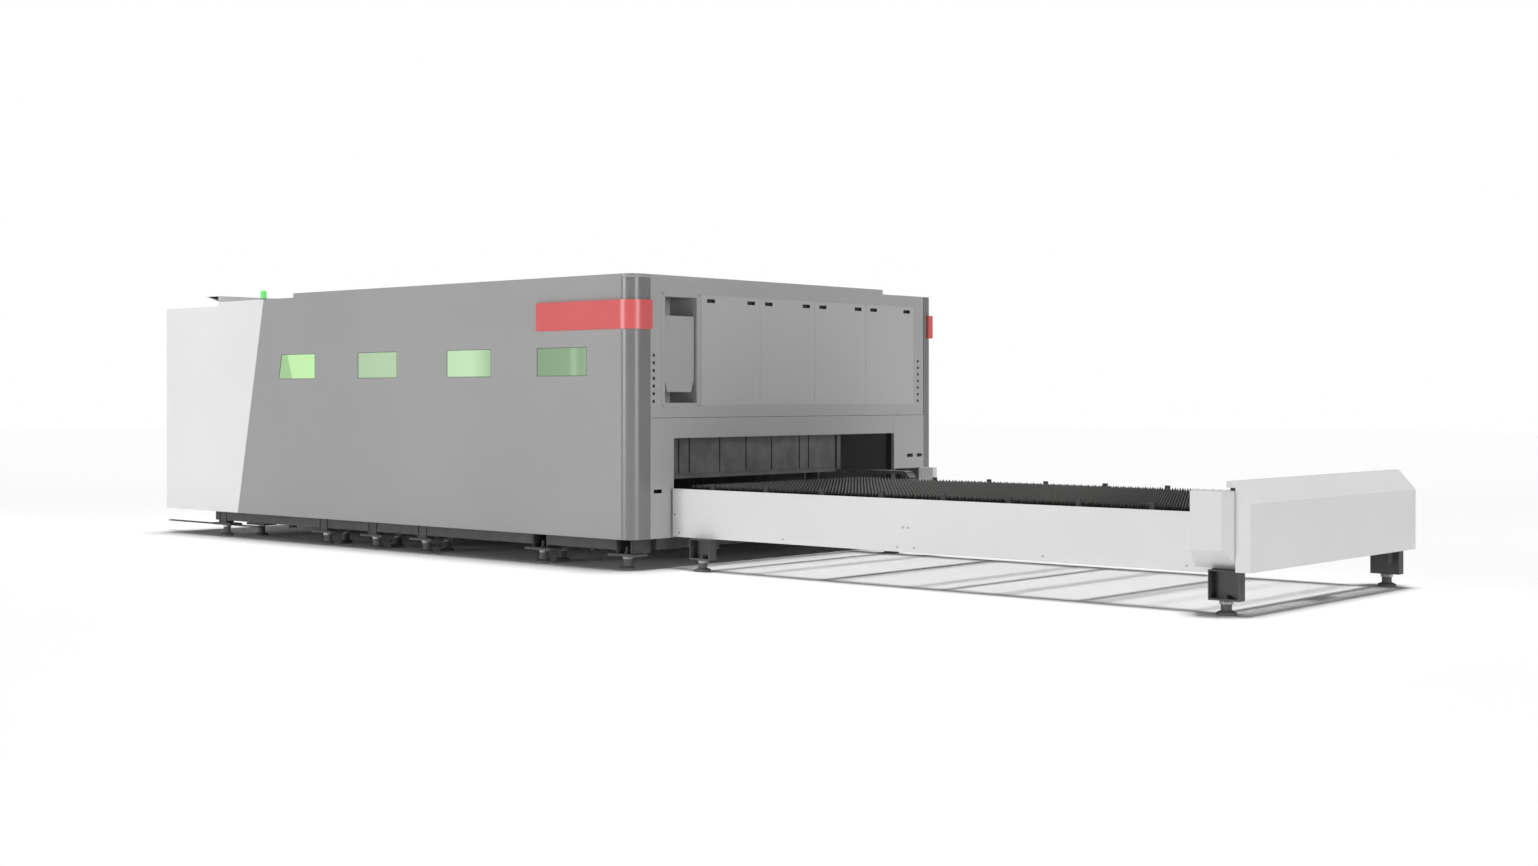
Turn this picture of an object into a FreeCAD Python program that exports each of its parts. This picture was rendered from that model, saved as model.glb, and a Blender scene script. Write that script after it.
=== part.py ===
import FreeCAD, Part
import Sketcher
import math
import os
import re

# Fiber laser cutting machine with a two-level pallet exchange table.
# +X runs along the machine towards the table, +Y across it, +Z up, millimetres.
# Every place in the sheet is measured from the enclosure's near front corner on the floor;
# shift_x and shift_y move that corner so that the origin is the bottom centre of the whole machine.

V = FreeCAD.Vector
doc = FreeCAD.newDocument("laser_cutting_machine")
sheet = doc.addObject("Spreadsheet::Sheet", "Dims")

DIMENSIONS = {
    # whole machine
    "shift_x": 918.5, "shift_y": -1913, "centre_y": 1580,
    # enclosure
    "enc_length": 6584, "enc_width": 3826, "skin": 3, "flange": 30, "seam": 4,
    "panel_low": 240, "far_panel_low": 340, "roof_high": 2300, "roof_mid": 2260, "roof_left": 2217,
    "raised_length": 4435, "raised_width": 3135, "visor_x": 5662, "visor_reach": 230,
    "visor_top": 2318, "slant_top": 4910, "slant_low": 5338, "post_radius": 115, "post_edge": 200,
    "roof_sheet": 4, "cap_height": 30, "far_post": 83,
    # windows, counted from the table end
    "window_low": 1510, "window_high": 1738, "window_slant": 48, "pane": 8,
    "window_a": 502, "window_a_wide": 586, "window_b": 1654, "window_b_wide": 568,
    "window_c": 2901, "window_c_wide": 557, "window_d": 4100, "window_d_wide": 568,
    # end face
    "seam_height": 1180, "mouth_near": 463, "mouth_far": 3298, "mouth_top": 1020,
    "upper_far": 3740, "column_low": 700, "niche_near": 362, "niche_far": 726,
    "niche_low": 1297, "niche_high": 2135, "niche_depth": 300, "niche_rim": 40,
    "access_near": 782, "access_low": 1281, "access_high": 2162, "access_wide": 704,
    "grip_wide": 96, "grip_tall": 30, "grip_inset": 62, "vent_radius": 13, "vent_pitch": 60,
    "vent_low": 1310, "vent_near": 240, "vent_far": 3657,
    # red band plates
    "band_low": 1872, "band_high": 2098, "band_proud": 25, "band_length": 1070,
    # signal lamp
    "lamp_x": 4964, "lamp_y": 35, "lamp_radius": 27, "lamp_top": 2345,
    # enclosure frame and feet
    "rail_low": 150, "rail_near": 85, "rail_wide": 80, "tube_wall": 5, "frame_tube": 60,
    "frame_top": 2200, "far_rail_near": 3700, "far_rail_low": 250, "plate_low": 105,
    "plate_thick": 20, "plate_long": 300, "foot_near": 130, "foot_far": 3740,
    "disc_radius": 64, "disc_thick": 16, "stem_radius": 34, "bolt_radius": 14,
    # cutting bed
    "bed_near": 240, "beam_wide": 200, "bed_low": 245, "bed_top": 800, "bed_left": 5600,
    "bed_right": 560, "beam_wall": 12, "bed_foot": 340, "rail_height": 26, "rail_width": 30,
    "rack_root": 21.25, "rack_thick": 25,
    # gears
    "gear_module": 3, "gear_teeth": 20, "gear_play": 0.35,
    # gantry, its carriage and the head
    "gantry_x": 3000, "beam_half": 140, "beam_low": 905, "beam_high": 1205, "truck_low": 850,
    "truck_half": 250, "nozzle_tip": 760, "head_reach": 345, "plate_near": 232,
    # exchange levels: height of the track under the wheels
    "upper_track": 505, "level_gap": 175, "track_thick": 14, "wheel_radius": 30, "track_gap": 0.3,
    "axle_radius": 10, "bore_gap": 0.05, "lift_stroke": 175,
    # pallets
    "pallet_start": 50, "pallet_length": 4560, "pallet_half": 1080, "pallet_travel": 5300,
    "pallet_rail": 50, "rail_rise": 20, "slat_half": 1060, "slat_pitch": 64, "slat_count": 70,
    "slat_thick": 4, "slat_height": 80, "tooth_pitch": 40, "tooth_depth": 26, "slat_start": 90,
    "block_pitch": 550, "block_start": 310, "block_top": 163,
    # exchange table
    "web_half": 1150, "web_thick": 12, "skirt_half": 1155, "skirt_low": 250, "skirt_high": 625,
    "skirt_start": 24, "table_start": 62, "table_end": 4870, "leg_long": 210, "leg_deep": 80, "leg_low": 90,
    "leg_a": 381, "leg_b": 4815, "leg_gap": 4, "chain_height": 442, "chain_radius": 35, "chain_thick": 4,
    "chain_wide": 14, "chain_half": 1106, "idler_x": 450, "drive_x": 4800,
    # end cover and guards
    "cover_front": 5003, "cover_half": 1243, "cover_low": 271, "cover_fold": 692,
    "cover_top": 829, "cover_back": 4883, "guard_half": 1360, "guard_low": 282,
    # inner door
    "door_x": 440, "door_thick": 40, "door_near": 539, "door_wide": 2436, "door_low": 675,
    "door_tall": 445, "groove": 16, "door_stroke": 400,
    # service door in the left end
    "service_near": 1500, "service_wide": 900, "service_low": 300, "service_high": 2150,
}

FOOT_ROWS = {
    "near": (5717, 4084, 3355, 2657, 1151, 180),
    "far": (5717, 3355, 1151, 180),
    "bed_near": (5450, 4100, 3340, 2640, 1151),
    "bed_far": (5450, 3340, 1151),
}
BOX_FEET = {1151: 147, 180: 210}       # feet under base boxes, with each box's depth
POST_PLACES = (6480, 5600, 3780, 2560, 1370, 300)
BED_TIES = (5450, 3340, 1151)
TABLE_TIES = (400, 1500, 2600, 3700, 4745)
PALLET_TIES = (0, 750, 1500, 2250, 3000, 3750, 4510)
LIFT_TIES = (5480, 4300, 3100, 1900, 1181, 660)

for row, (alias, amount) in enumerate(DIMENSIONS.items(), start=1):
    sheet.set("A%d" % row, alias)
    sheet.set("B%d" % row, str(amount))
    sheet.setAlias("B%d" % row, alias)
doc.recompute()

WORD = re.compile(r"[a-z][a-z_]+")


def linked(text):
    """Turn words of a size formula into references to the sheet's cells."""
    return WORD.sub(lambda word: "Dims." + word.group(0), str(text))


def number(text):
    """Present value in millimetres of a size formula."""
    return float(sheet.evalExpression(str(text)))


def bind(item, prop, text):
    item.setExpression(prop, linked(text))


def place(item, at):
    """Bind an item's place, given from the enclosure's corner, into the machine's own frame."""
    x, y, z = at
    bind(item, "Placement.Base.x", "%s + shift_x" % x)
    bind(item, "Placement.Base.y", "%s + shift_y" % y)
    bind(item, "Placement.Base.z", z)
    return item


# ---------------------------------------------------------------- primitives and booleans

def box(at, size, name="block"):
    item = doc.addObject("Part::Box", name)
    for prop, text in zip(("Length", "Width", "Height"), size):
        bind(item, prop, text)
    return place(item, at)


TURNS = {
    "+Z": FreeCAD.Rotation(),
    "+Y": FreeCAD.Rotation(V(1, 0, 0), -90),
    "+X": FreeCAD.Rotation(V(0, 1, 0), 90),
}


def rod(at, radius, length, axis="+Z", name="rod"):
    item = doc.addObject("Part::Cylinder", name)
    item.Placement = FreeCAD.Placement(V(), TURNS[axis])
    bind(item, "Radius", radius)
    bind(item, "Height", length)
    return place(item, at)


def cone(at, low, high, length, name="cone"):
    item = doc.addObject("Part::Cone", name)
    bind(item, "Radius1", low)
    bind(item, "Radius2", high)
    bind(item, "Height", length)
    return place(item, at)


def fuse(items, name="fused"):
    item = doc.addObject("Part::MultiFuse", name)
    item.Shapes = items
    return item


def group(items, name="group"):
    item = doc.addObject("Part::Compound", name)
    item.Links = items
    return item


def cut(base, tools, name="cut"):
    item = doc.addObject("Part::Cut", name)
    item.Base = base
    item.Tool = tools[0] if len(tools) == 1 else fuse(tools, "tools")
    return item


def tube(at, size, wall, axis, name="tube"):
    """Rectangular tube, open at both ends, along one axis."""
    inner_at = []
    inner_size = []
    for letter, start, length in zip("XYZ", at, size):
        if letter == axis:
            inner_at.append("%s - 1" % start)
            inner_size.append("%s + 2" % length)
        else:
            inner_at.append("%s + %s" % (start, wall))
            inner_size.append("%s - 2 * %s" % (length, wall))
    return cut(box(at, size), [box(inner_at, inner_size)], name)


def mirrored(y, width=0):
    """Start of the piece that mirrors one starting at y across the table's centre line."""
    return "2 * centre_y - (%s) - (%s)" % (y, width)


# ---------------------------------------------------------------- sketched bodies

def new_body(label, at):
    body = doc.addObject("PartDesign::Body", label)
    doc.recompute()
    return place(body, at)


def sketch_on(body, role, depth=0):
    plane = [item for item in body.Origin.OriginFeatures if item.Role == role][0]
    sketch = body.newObject("Sketcher::SketchObject", "outline")
    sketch.AttachmentSupport = [(plane, "")]
    sketch.MapMode = "FlatFace"
    sketch.AttachmentOffset = FreeCAD.Placement(V(0, 0, number(depth)), FreeCAD.Rotation())
    return sketch


def hold(sketch, kind, geometry, point, text):
    """Hold one coordinate of a sketch point at a size formula."""
    value = number(text)
    if abs(value) < 1e-6:
        axis = -2 if kind == "DistanceX" else -1
        sketch.addConstraint(Sketcher.Constraint("PointOnObject", geometry, point, axis))
        return
    index = sketch.addConstraint(Sketcher.Constraint(kind, -1, 1, geometry, point, value))
    sketch.setExpression("Constraints[%d]" % index, linked(text))


def outline(sketch, points):
    """Closed outline of straight lines through points held by size formulas."""
    places = [V(number(u), number(v), 0) for u, v in points]
    first = sketch.GeometryCount
    count = len(points)
    for index in range(count):
        line = Part.LineSegment(places[index], places[(index + 1) % count])
        sketch.addGeometry(line, False)
    for index in range(count):
        following = first + (index + 1) % count
        sketch.addConstraint(Sketcher.Constraint("Coincident", first + index, 2, following, 1))
    for index, (u, v) in enumerate(points):
        hold(sketch, "DistanceX", first + index, 1, u)
        hold(sketch, "DistanceY", first + index, 1, v)


def rectangle(sketch, u, v, wide, tall):
    far_u = "%s + %s" % (u, wide)
    far_v = "%s + %s" % (v, tall)
    outline(sketch, [(u, v), (far_u, v), (far_u, far_v), (u, far_v)])


def circle(sketch, u, v, radius):
    centre = V(number(u), number(v), 0)
    index = sketch.addGeometry(Part.Circle(centre, V(0, 0, 1), number(radius)), False)
    hold(sketch, "DistanceX", index, 3, u)
    hold(sketch, "DistanceY", index, 3, v)
    size = sketch.addConstraint(Sketcher.Constraint("Radius", index, number(radius)))
    sketch.setExpression("Constraints[%d]" % size, linked(radius))


def pad(body, sketch, length, backwards=False):
    feature = body.newObject("PartDesign::Pad", "pad")
    feature.Profile = sketch
    bind(feature, "Length", length)
    feature.Reversed = backwards
    body.Tip = feature
    return feature


def solid_feature(label, shape):
    item = doc.addObject("Part::Feature", label)
    item.Shape = shape
    item.Placement = FreeCAD.Placement(V(number("shift_x"), number("shift_y"), 0),
                                       FreeCAD.Rotation())
    return item


# ---------------------------------------------------------------- enclosure panels

def side_outline(low):
    """Outline shared by both long sides: u from the left end, v up."""
    return [("seam", low), ("enc_length - slant_low", low),
            ("enc_length - slant_top", "roof_mid"), ("enc_length - visor_x", "roof_mid"),
            ("enc_length - visor_x", "roof_left"), ("seam", "roof_left")]


WINDOWS = (("window_a", "window_a_wide"), ("window_b", "window_b_wide"),
           ("window_c", "window_c_wide"), ("window_d", "window_d_wide"))


def window_points(right, wide, slanted):
    left = "enc_length - %s - %s" % (right, wide)
    upper = "%s + window_slant" % left if slanted else left
    end = "enc_length - %s" % right
    return [(left, "window_low"), (end, "window_low"), (end, "window_high"),
            (upper, "window_high")]


def near_grey_panel():
    body = new_body("near_grey_panel", ("-enc_length", "0", "0"))
    sheet_face = sketch_on(body, "XZ_Plane")
    outline(sheet_face, [
        ("enc_length - slant_low + seam", "panel_low"),
        ("enc_length - post_radius - skin", "panel_low"),
        ("enc_length - post_radius - skin", "roof_high"),
        ("enc_length - raised_length", "roof_high"),
        ("enc_length - raised_length", "roof_mid"),
        ("enc_length - slant_top + seam", "roof_mid")])
    for right, wide in WINDOWS:
        outline(sheet_face, window_points(right, wide, right == "window_d"))
    pad(body, sheet_face, "skin", True)
    flanges = sketch_on(body, "XZ_Plane")
    rectangle(flanges, "enc_length - slant_low + 2 * seam", "panel_low",
              "slant_low - post_radius - 3 * seam", "skin")
    rectangle(flanges, "enc_length - raised_length", "roof_high - skin",
              "raised_length - post_radius - seam", "skin")
    pad(body, flanges, "flange", True)
    return body


def near_white_panel():
    body = new_body("near_white_panel", ("-enc_length", "0", "0"))
    sheet_face = sketch_on(body, "XZ_Plane")
    outline(sheet_face, side_outline("panel_low"))
    pad(body, sheet_face, "skin", True)
    flanges = sketch_on(body, "XZ_Plane")
    rectangle(flanges, "2 * seam", "panel_low", "enc_length - slant_low - 3 * seam", "skin")
    rectangle(flanges, "2 * seam", "roof_left - skin", "enc_length - visor_x - 3 * seam", "skin")
    pad(body, flanges, "flange", True)
    return body


def far_side_panel():
    body = new_body("far_side_panel", ("-enc_length", "enc_width", "0"))
    sheet_face = sketch_on(body, "XZ_Plane")
    outline(sheet_face, [
        ("seam", "far_panel_low"), ("enc_length - far_post - seam", "far_panel_low"),
        ("enc_length - far_post - seam", "roof_mid"), ("enc_length - visor_x", "roof_mid"),
        ("enc_length - visor_x", "roof_left"), ("seam", "roof_left")])
    pad(body, sheet_face, "skin")
    flanges = sketch_on(body, "XZ_Plane")
    rectangle(flanges, "2 * seam", "far_panel_low", "enc_length - far_post - 4 * seam", "skin")
    pad(body, flanges, "flange")
    return body


HINGE_HEIGHTS = ("service_low + 150", "service_low + 900", "service_high - 210")


def left_end_wall():
    body = new_body("left_end_sheet", ("-enc_length", "0", "0"))
    sheet_face = sketch_on(body, "YZ_Plane")
    rectangle(sheet_face, "0", "panel_low", "enc_width", "roof_left - panel_low")
    rectangle(sheet_face, "service_near", "service_low", "service_wide",
              "service_high - service_low")
    pad(body, sheet_face, "skin")
    pieces = [body]
    for height in HINGE_HEIGHTS:
        pieces.append(rod(("-enc_length - 8", "service_near - 6", height), 7, 30))
        pieces.append(box(("-enc_length - 8", "service_near - 40", height), (8, 34, 30)))
    return fuse(pieces, "left_end_wall")


def service_door():
    leaf = cut(box(("-enc_length", "service_near + 3", "service_low + 3"),
                   (24, "service_wide - 6", "service_high - service_low - 6")),
               [box(("-enc_length + skin", "service_near + 6", "service_low + 6"),
                    (24, "service_wide - 12", "service_high - service_low - 12"))])
    pieces = [leaf]
    for height in HINGE_HEIGHTS:
        pieces.append(rod(("-enc_length - 8", "service_near - 6", "%s + 30.5" % height), 7, 30))
        pieces.append(box(("-enc_length - 8", "service_near - 3", "%s + 30.5" % height),
                          (8, 40, 30)))
    for height in (1080, 1260):
        pieces.append(rod(("-enc_length - 36", "service_near + service_wide - 80", height),
                          8, 40, "+X"))
    pieces.append(rod(("-enc_length - 36", "service_near + service_wide - 80", 1060), 9, 220))
    return fuse(pieces, "service_door")


def corner_ring(outer, inner, low, height):
    """Quarter of an upright ring round the near front corner."""
    centre = ("-post_radius", "post_radius", low)
    ring = cut(rod(centre, outer, height), [rod(centre, inner, height)], "ring")
    quarter = doc.addObject("Part::Common", "quarter")
    quarter.Base = ring
    quarter.Tool = box(("-post_radius", "post_radius - 2 * post_radius", low),
                       ("2 * post_radius", "2 * post_radius", height))
    return quarter


def near_corner_post():
    height = "roof_high - cap_height - 2 - panel_low"
    bend = corner_ring("post_radius", "post_radius - skin", "panel_low", height)
    flat = box(("-skin", "post_radius", "panel_low"),
               ("skin", "post_edge - post_radius", height))
    back = box(("-post_radius - skin", "skin", "panel_low"), ("skin", "flange", height))
    heel = box(("-post_radius - skin", "0", "panel_low"), ("skin", "skin", height))
    return fuse([bend, flat, back, heel], "near_corner_post")


def far_corner_post():
    height = "roof_mid - far_panel_low"
    face = box(("-skin", "enc_width - far_post", "far_panel_low"), ("skin", "far_post", height))
    side = box(("-far_post", "enc_width - skin", "far_panel_low"), ("far_post", "skin", height))
    return fuse([face, side], "far_corner_post")


def end_upper_panel():
    body = new_body("end_upper_panel", ("0", "0", "0"))
    face = sketch_on(body, "YZ_Plane")
    outline(face, [
        ("post_edge + skin", "seam_height + skin"), ("upper_far - skin", "seam_height + skin"),
        ("upper_far - skin", "roof_mid"), ("raised_width", "roof_mid"),
        ("raised_width", "roof_high"), ("post_edge + skin", "roof_high")])
    rectangle(face, "niche_near", "niche_low", "niche_far - niche_near",
              "niche_high - niche_low")
    rectangle(face, "access_near", "access_low", "4 * access_wide", "access_high - access_low")
    for column in ("vent_near", "vent_far"):
        for step in range(7):
            circle(face, column, "vent_low + %d * vent_pitch" % step, "vent_radius")
    pad(body, face, "skin", True)
    rebate = sketch_on(body, "YZ_Plane", "-skin")
    rectangle(rebate, "access_near - 12", "access_low - 20", "4 * access_wide + 32",
              "access_high - access_low + 40")
    for step in range(4):
        rectangle(rebate, "access_near + 25 + %d * access_wide" % step, "access_low + 25",
                  "access_wide - 50", "access_high - access_low - 50")
    pad(body, rebate, "skin", True)
    return body


def access_panel(index):
    label = "access_panel_%d" % (index + 1)
    body = new_body(label, ("0", "access_near + %d * access_wide" % index, "access_low"))
    face = sketch_on(body, "YZ_Plane")
    tall = "access_high - access_low"
    rectangle(face, "1.5", "1.5", "access_wide - 3", tall + " - 3")
    for start in ("grip_inset", "access_wide - grip_inset - grip_wide"):
        rectangle(face, start, tall + " - grip_inset", "grip_wide", "grip_tall")
    pad(body, face, "skin", True)
    return body


def end_portal():
    body = new_body("end_portal", ("0", "0", "0"))
    face = sketch_on(body, "YZ_Plane")
    outline(face, [
        ("post_edge + skin", "panel_low"), ("mouth_near", "panel_low"),
        ("mouth_near", "mouth_top"), ("mouth_far", "mouth_top"),
        ("mouth_far", "seam_height"), ("post_edge + skin", "seam_height")])
    rectangle(face, "vent_near", "593", "grip_wide - 8", "grip_tall")
    pad(body, face, "skin", True)
    lips = sketch_on(body, "YZ_Plane")
    outline(lips, [
        ("mouth_near - skin", "panel_low"), ("mouth_near", "panel_low"),
        ("mouth_near", "mouth_top"), ("mouth_far", "mouth_top"),
        ("mouth_far", "mouth_top + skin"), ("mouth_near - skin", "mouth_top + skin")])
    pad(body, lips, "flange", True)
    return body


def end_right_column():
    body = new_body("end_right_column", ("0", "0", "0"))
    face = sketch_on(body, "YZ_Plane")
    outline(face, [
        ("mouth_far + skin", "column_low"), ("enc_width - far_post - 1", "column_low"),
        ("enc_width - far_post - 1", "seam_height"), ("mouth_far + skin", "seam_height")])
    rectangle(face, "mouth_far + 195", "800", "grip_wide - 8", "grip_tall")
    rectangle(face, "mouth_far + 345", "800", "grip_wide - 16", "grip_tall")
    pad(body, face, "skin", True)
    lips = sketch_on(body, "YZ_Plane")
    rectangle(lips, "mouth_far + skin", "column_low", "skin", "seam_height - column_low")
    pad(body, lips, "flange", True)
    return body


def niche_liner():
    """Pressed rim with a deep tray behind it, one welded piece."""
    rim = cut(box(("0", "niche_near - niche_rim", "niche_low - 35"),
                  (2, "niche_far - niche_near + 2 * niche_rim", "niche_high - niche_low + 70")),
              [box(("-1", "niche_near", "niche_low"),
                   (4, "niche_far - niche_near", "niche_high - niche_low"))])
    tray = cut(box(("-niche_depth", "niche_near", "niche_low"),
                   ("niche_depth + 1", "niche_far - niche_near", "niche_high - niche_low")),
               [box(("-niche_depth + 2", "niche_near + 2", "niche_low + 2"),
                    ("niche_depth + 2", "niche_far - niche_near - 4",
                     "niche_high - niche_low - 4"))])
    return fuse([rim, tray], "niche_liner")


def niche_box():
    """Upright housing with its lower end drawn in to a narrower foot."""
    body = new_body("niche_shell", ("-180", "0", "0"))
    face = sketch_on(body, "YZ_Plane")
    outline(face, [
        ("niche_near + 46", "niche_low + 87"), ("niche_far - 46", "niche_low + 87"),
        ("niche_far - 14", "niche_low + 190"), ("niche_far - 14", "niche_high - 150"),
        ("niche_near + 20", "niche_high - 150"), ("niche_near + 20", "niche_low + 190")])
    pad(body, face, "160")
    room = box(("-181", "niche_near + 50", "niche_low + 193"),
               ("158", "niche_far - niche_near - 100", "niche_high - niche_low - 346"))
    bracket = box(("-niche_depth + 2", "niche_near + 120", "niche_low + 300"),
                  ("niche_depth - 182", "120", "260"))
    return fuse([cut(body, [room]), bracket], "niche_box")


def window_panes():
    panes = []
    for index, (right, wide) in enumerate(WINDOWS):
        body = new_body("pane_%d" % (index + 1), ("-enc_length", "skin", "0"))
        face = sketch_on(body, "XZ_Plane")
        left = "enc_length - %s - %s - 20" % (right, wide)
        rectangle(face, left, "window_low - 20", "%s + 40" % wide,
                  "window_high - window_low + 40")
        pad(body, face, "pane", True)
        panes.append(body)
    return group(panes, "window_panes")


def near_band_plate():
    height = "band_high - band_low"
    side = box(("-band_length", "-band_proud", "band_low"),
               ("band_length - post_radius", "band_proud - 1", height))
    reach = cut(rod(("-post_radius", "post_radius", "band_low"), "post_radius + band_proud",
                    height),
                [rod(("-post_radius", "post_radius", "band_low"), "post_radius + 1", height),
                 box(("-3 * post_radius", "-post_radius", "band_low"),
                     ("2 * post_radius", "4 * post_radius", height)),
                 box(("-post_radius", "post_radius", "band_low"),
                     ("3 * post_radius", "2 * post_radius", height))], "bend")
    front = box(("1", "post_radius", "band_low"),
                ("band_proud - 1", "post_edge - post_radius", height))
    return fuse([side, reach, front], "near_band_plate")


def far_band_plate():
    height = "band_high - band_low - 20"
    front = box(("1", "enc_width - 40", "band_low + 10"), ("band_proud - 1", 65, height))
    side = box(("-band_length / 3", "enc_width + 1", "band_low + 10"),
               ("band_length / 3 + band_proud", "band_proud - 1", height))
    return fuse([front, side], "far_band_plate")


# ---------------------------------------------------------------- roof

def roof_raised():
    low = "roof_high - cap_height"
    plate = box(("-raised_length + 1", "seam", "roof_high - 14"),
                ("raised_length - 1 - seam - skin", "raised_width - 1 - seam", "roof_sheet"))
    left = box(("-raised_length + 1", "seam", "roof_mid + 1"), ("skin", "raised_width - 1 - seam",
                                                                "roof_high - roof_mid - 11"))
    far = box(("-raised_length + 1", "raised_width - 4", "roof_mid + 1"),
              ("raised_length - seam - skin - 1", "skin", "roof_high - roof_mid - 11"))
    cap = doc.addObject("Part::Common", "cap")
    cap.Base = rod(("-post_radius", "post_radius", low), "post_radius", "cap_height")
    cap.Tool = box(("-post_radius", "0", low), ("post_radius", "post_radius", "cap_height"))
    cap_end = box(("-post_radius", "post_radius", low),
                  ("post_radius", "post_edge - post_radius + 2", "cap_height"))
    return fuse([plate, left, far, cap, cap_end], "roof_raised")


def roof_low():
    """Lower roof sheet with the opening under the raised part and a step down at the left."""
    height = "roof_mid - 10"
    deck = cut(box(("-visor_x", "seam", height),
                   ("visor_x - seam - skin", "enc_width - 2 * seam", "roof_sheet")),
               [box(("-raised_length + 30", "60", "roof_mid - 20"),
                    ("raised_length - 180", "raised_width - 100", "30")),
                box(("-post_radius - 5", "0", "roof_mid - 20"),
                    ("post_radius + 5", "post_edge", "30"))])
    riser = box(("-visor_x", "seam", "roof_left - 10"),
                ("skin", "enc_width - 2 * seam", "roof_mid - roof_left"))
    deck_left = box(("-enc_length + seam", "seam", "roof_left - 10"),
                    ("enc_length - visor_x - seam", "enc_width - 2 * seam", "roof_sheet"))
    return fuse([deck, riser, deck_left], "roof_low")


def roof_visor():
    """Closed triangular box that runs across the roof step."""
    body = new_body("roof_visor", ("-visor_x - visor_reach", "0", "0"))
    section = sketch_on(body, "XZ_Plane")
    outline(section, [("0", "visor_top"), ("visor_reach", "roof_mid + 1"),
                      ("visor_reach", "visor_top")])
    outline(section, [("40", "visor_top - skin"), ("visor_reach - skin", "roof_mid + 10"),
                      ("visor_reach - skin", "visor_top - skin")])
    pad(body, section, "enc_width", True)
    return body


def signal_lamp():
    foot = rod(("-lamp_x", "lamp_y", "roof_mid - 6"), "lamp_radius + 5", 16)
    lens = rod(("-lamp_x", "lamp_y", "roof_mid + 10"), "lamp_radius", "lamp_top - roof_mid - 16")
    dome = cone(("-lamp_x", "lamp_y", "lamp_top - 6"), "lamp_radius", "lamp_radius - 6", 6)
    return fuse([foot, lens, dome], "signal_lamp")


# ---------------------------------------------------------------- frames

def foot_plate(x, y):
    """Base plate and short column over one or two levelling feet."""
    return [box(("-%s - plate_long / 2" % x, "%s - 70" % y, "plate_low"),
                ("plate_long", 140, "plate_thick"))]


def base_leg(x, deep):
    """Base box of the near side, open to the front so that the foot's nut can be reached."""
    outer = box(("-%s - 85" % x, "rail_near + 5", "plate_low + plate_thick"),
                (170, deep, "panel_low - plate_low - plate_thick - 3"))
    room = box(("-%s - 77" % x, "rail_near + 4", "plate_low + plate_thick"),
               (154, deep - 7, "panel_low - plate_low - plate_thick - 11"))
    nut = rod(("-%s" % x, "foot_near", "plate_low + plate_thick"), "bolt_radius + 10", 12)
    bolt = rod(("-%s" % x, "foot_near", "plate_low + plate_thick + 12"), "bolt_radius", 40)
    return [cut(outer, [room]), nut, bolt]


def near_rail():
    """Rail along the near side, in runs between the base boxes, with brackets over the feet."""
    pieces = []
    runs = ((-5845, -1151 - 85), (-1151 + 85, -180 - 85))
    for start, end in runs:
        pieces.append(tube((start, "rail_near", "rail_low"),
                           (end - start, "rail_wide", "panel_low - rail_low - 3"),
                           "tube_wall", "X"))
    for x in FOOT_ROWS["near"]:
        if x in BOX_FEET:
            pieces += base_leg(x, BOX_FEET[x])
            continue
        pieces.append(box(("-%s - 60" % x, "rail_near", "plate_low + plate_thick"),
                          (120, "rail_wide", "rail_low - plate_low - plate_thick")))
        for edge in (-60, 50):
            pieces.append(box(("-%s + %d" % (x, edge), "rail_near - 8",
                               "plate_low + plate_thick"),
                              (10, 8, "panel_low - plate_low - plate_thick - 3")))
    return pieces


def left_sill():
    """Overhang of the frame past the last foot, behind the panel's lower edge."""
    low = "panel_low - 3"
    return [tube(("-6420", "rail_near", low), (635, "frame_tube", "frame_tube"),
                 "tube_wall", "X"),
            tube(("-6480", "rail_near", low),
                 ("frame_tube", "far_rail_near - rail_near", "frame_tube"), "tube_wall", "Y")]


def enclosure_frame():
    pieces = near_rail() + left_sill()
    pieces.append(tube(("-enc_length + 100", "far_rail_near", "far_rail_low"),
                       ("enc_length - 200", "rail_wide", "far_panel_low - far_rail_low - 5"),
                       "tube_wall", "X"))
    pieces.append(box(("-6840", 180, "plate_low - 12"), (1600, 40, 12)))
    for x in FOOT_ROWS["near"]:
        pieces += foot_plate(x, "foot_near")
    for x in FOOT_ROWS["far"]:
        pieces += foot_plate(x, "foot_far")
        pieces.append(box(("-%s - 60" % x, "far_rail_near", "plate_low + plate_thick"),
                          (120, "rail_wide", "far_rail_low - plate_low - plate_thick")))
    for x in POST_PLACES:
        base = "panel_low + frame_tube - 3" if x == POST_PLACES[0] else "panel_low - 3"
        pieces.append(tube(("-%s" % x, "rail_near", base),
                           ("frame_tube", "frame_tube", "frame_top - frame_tube - (%s)" % base),
                           "tube_wall", "Z"))
        pieces.append(tube(("-%s" % x, "far_rail_near + 20", "far_panel_low - 5"),
                           ("frame_tube", "frame_tube",
                            "frame_top - frame_tube - far_panel_low + 5"), "tube_wall", "Z"))
        pieces.append(tube(("-%s" % x, "rail_near + frame_tube", "frame_top - frame_tube"),
                           ("frame_tube", "far_rail_near + 20 - rail_near - frame_tube",
                            "frame_tube"), "tube_wall", "Y"))
    for y in ("rail_near", "far_rail_near + 20"):
        pieces.append(tube(("-6480", y, "frame_top - frame_tube"),
                           ("6480 - 240", "frame_tube", "frame_tube"), "tube_wall", "X"))
    for y in ("mouth_near - 83", "mouth_far + 12"):
        pieces.append(tube(("-100", y, "rail_low + 87"),
                           ("frame_tube", "frame_tube", "seam_height - rail_low - 147"),
                           "tube_wall", "Z"))
    pieces.append(tube(("-100", "mouth_near - 83", "seam_height - frame_tube"),
                       ("frame_tube", "mouth_far - mouth_near + 95 + frame_tube", "frame_tube"),
                       "tube_wall", "Y"))
    pieces.append(box(("-110", "rail_near + 215", "rail_low"),
                      ("rail_wide", "far_rail_near - rail_near - 215",
                       "panel_low - rail_low - 3")))
    return group(pieces, "enclosure_frame")


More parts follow.
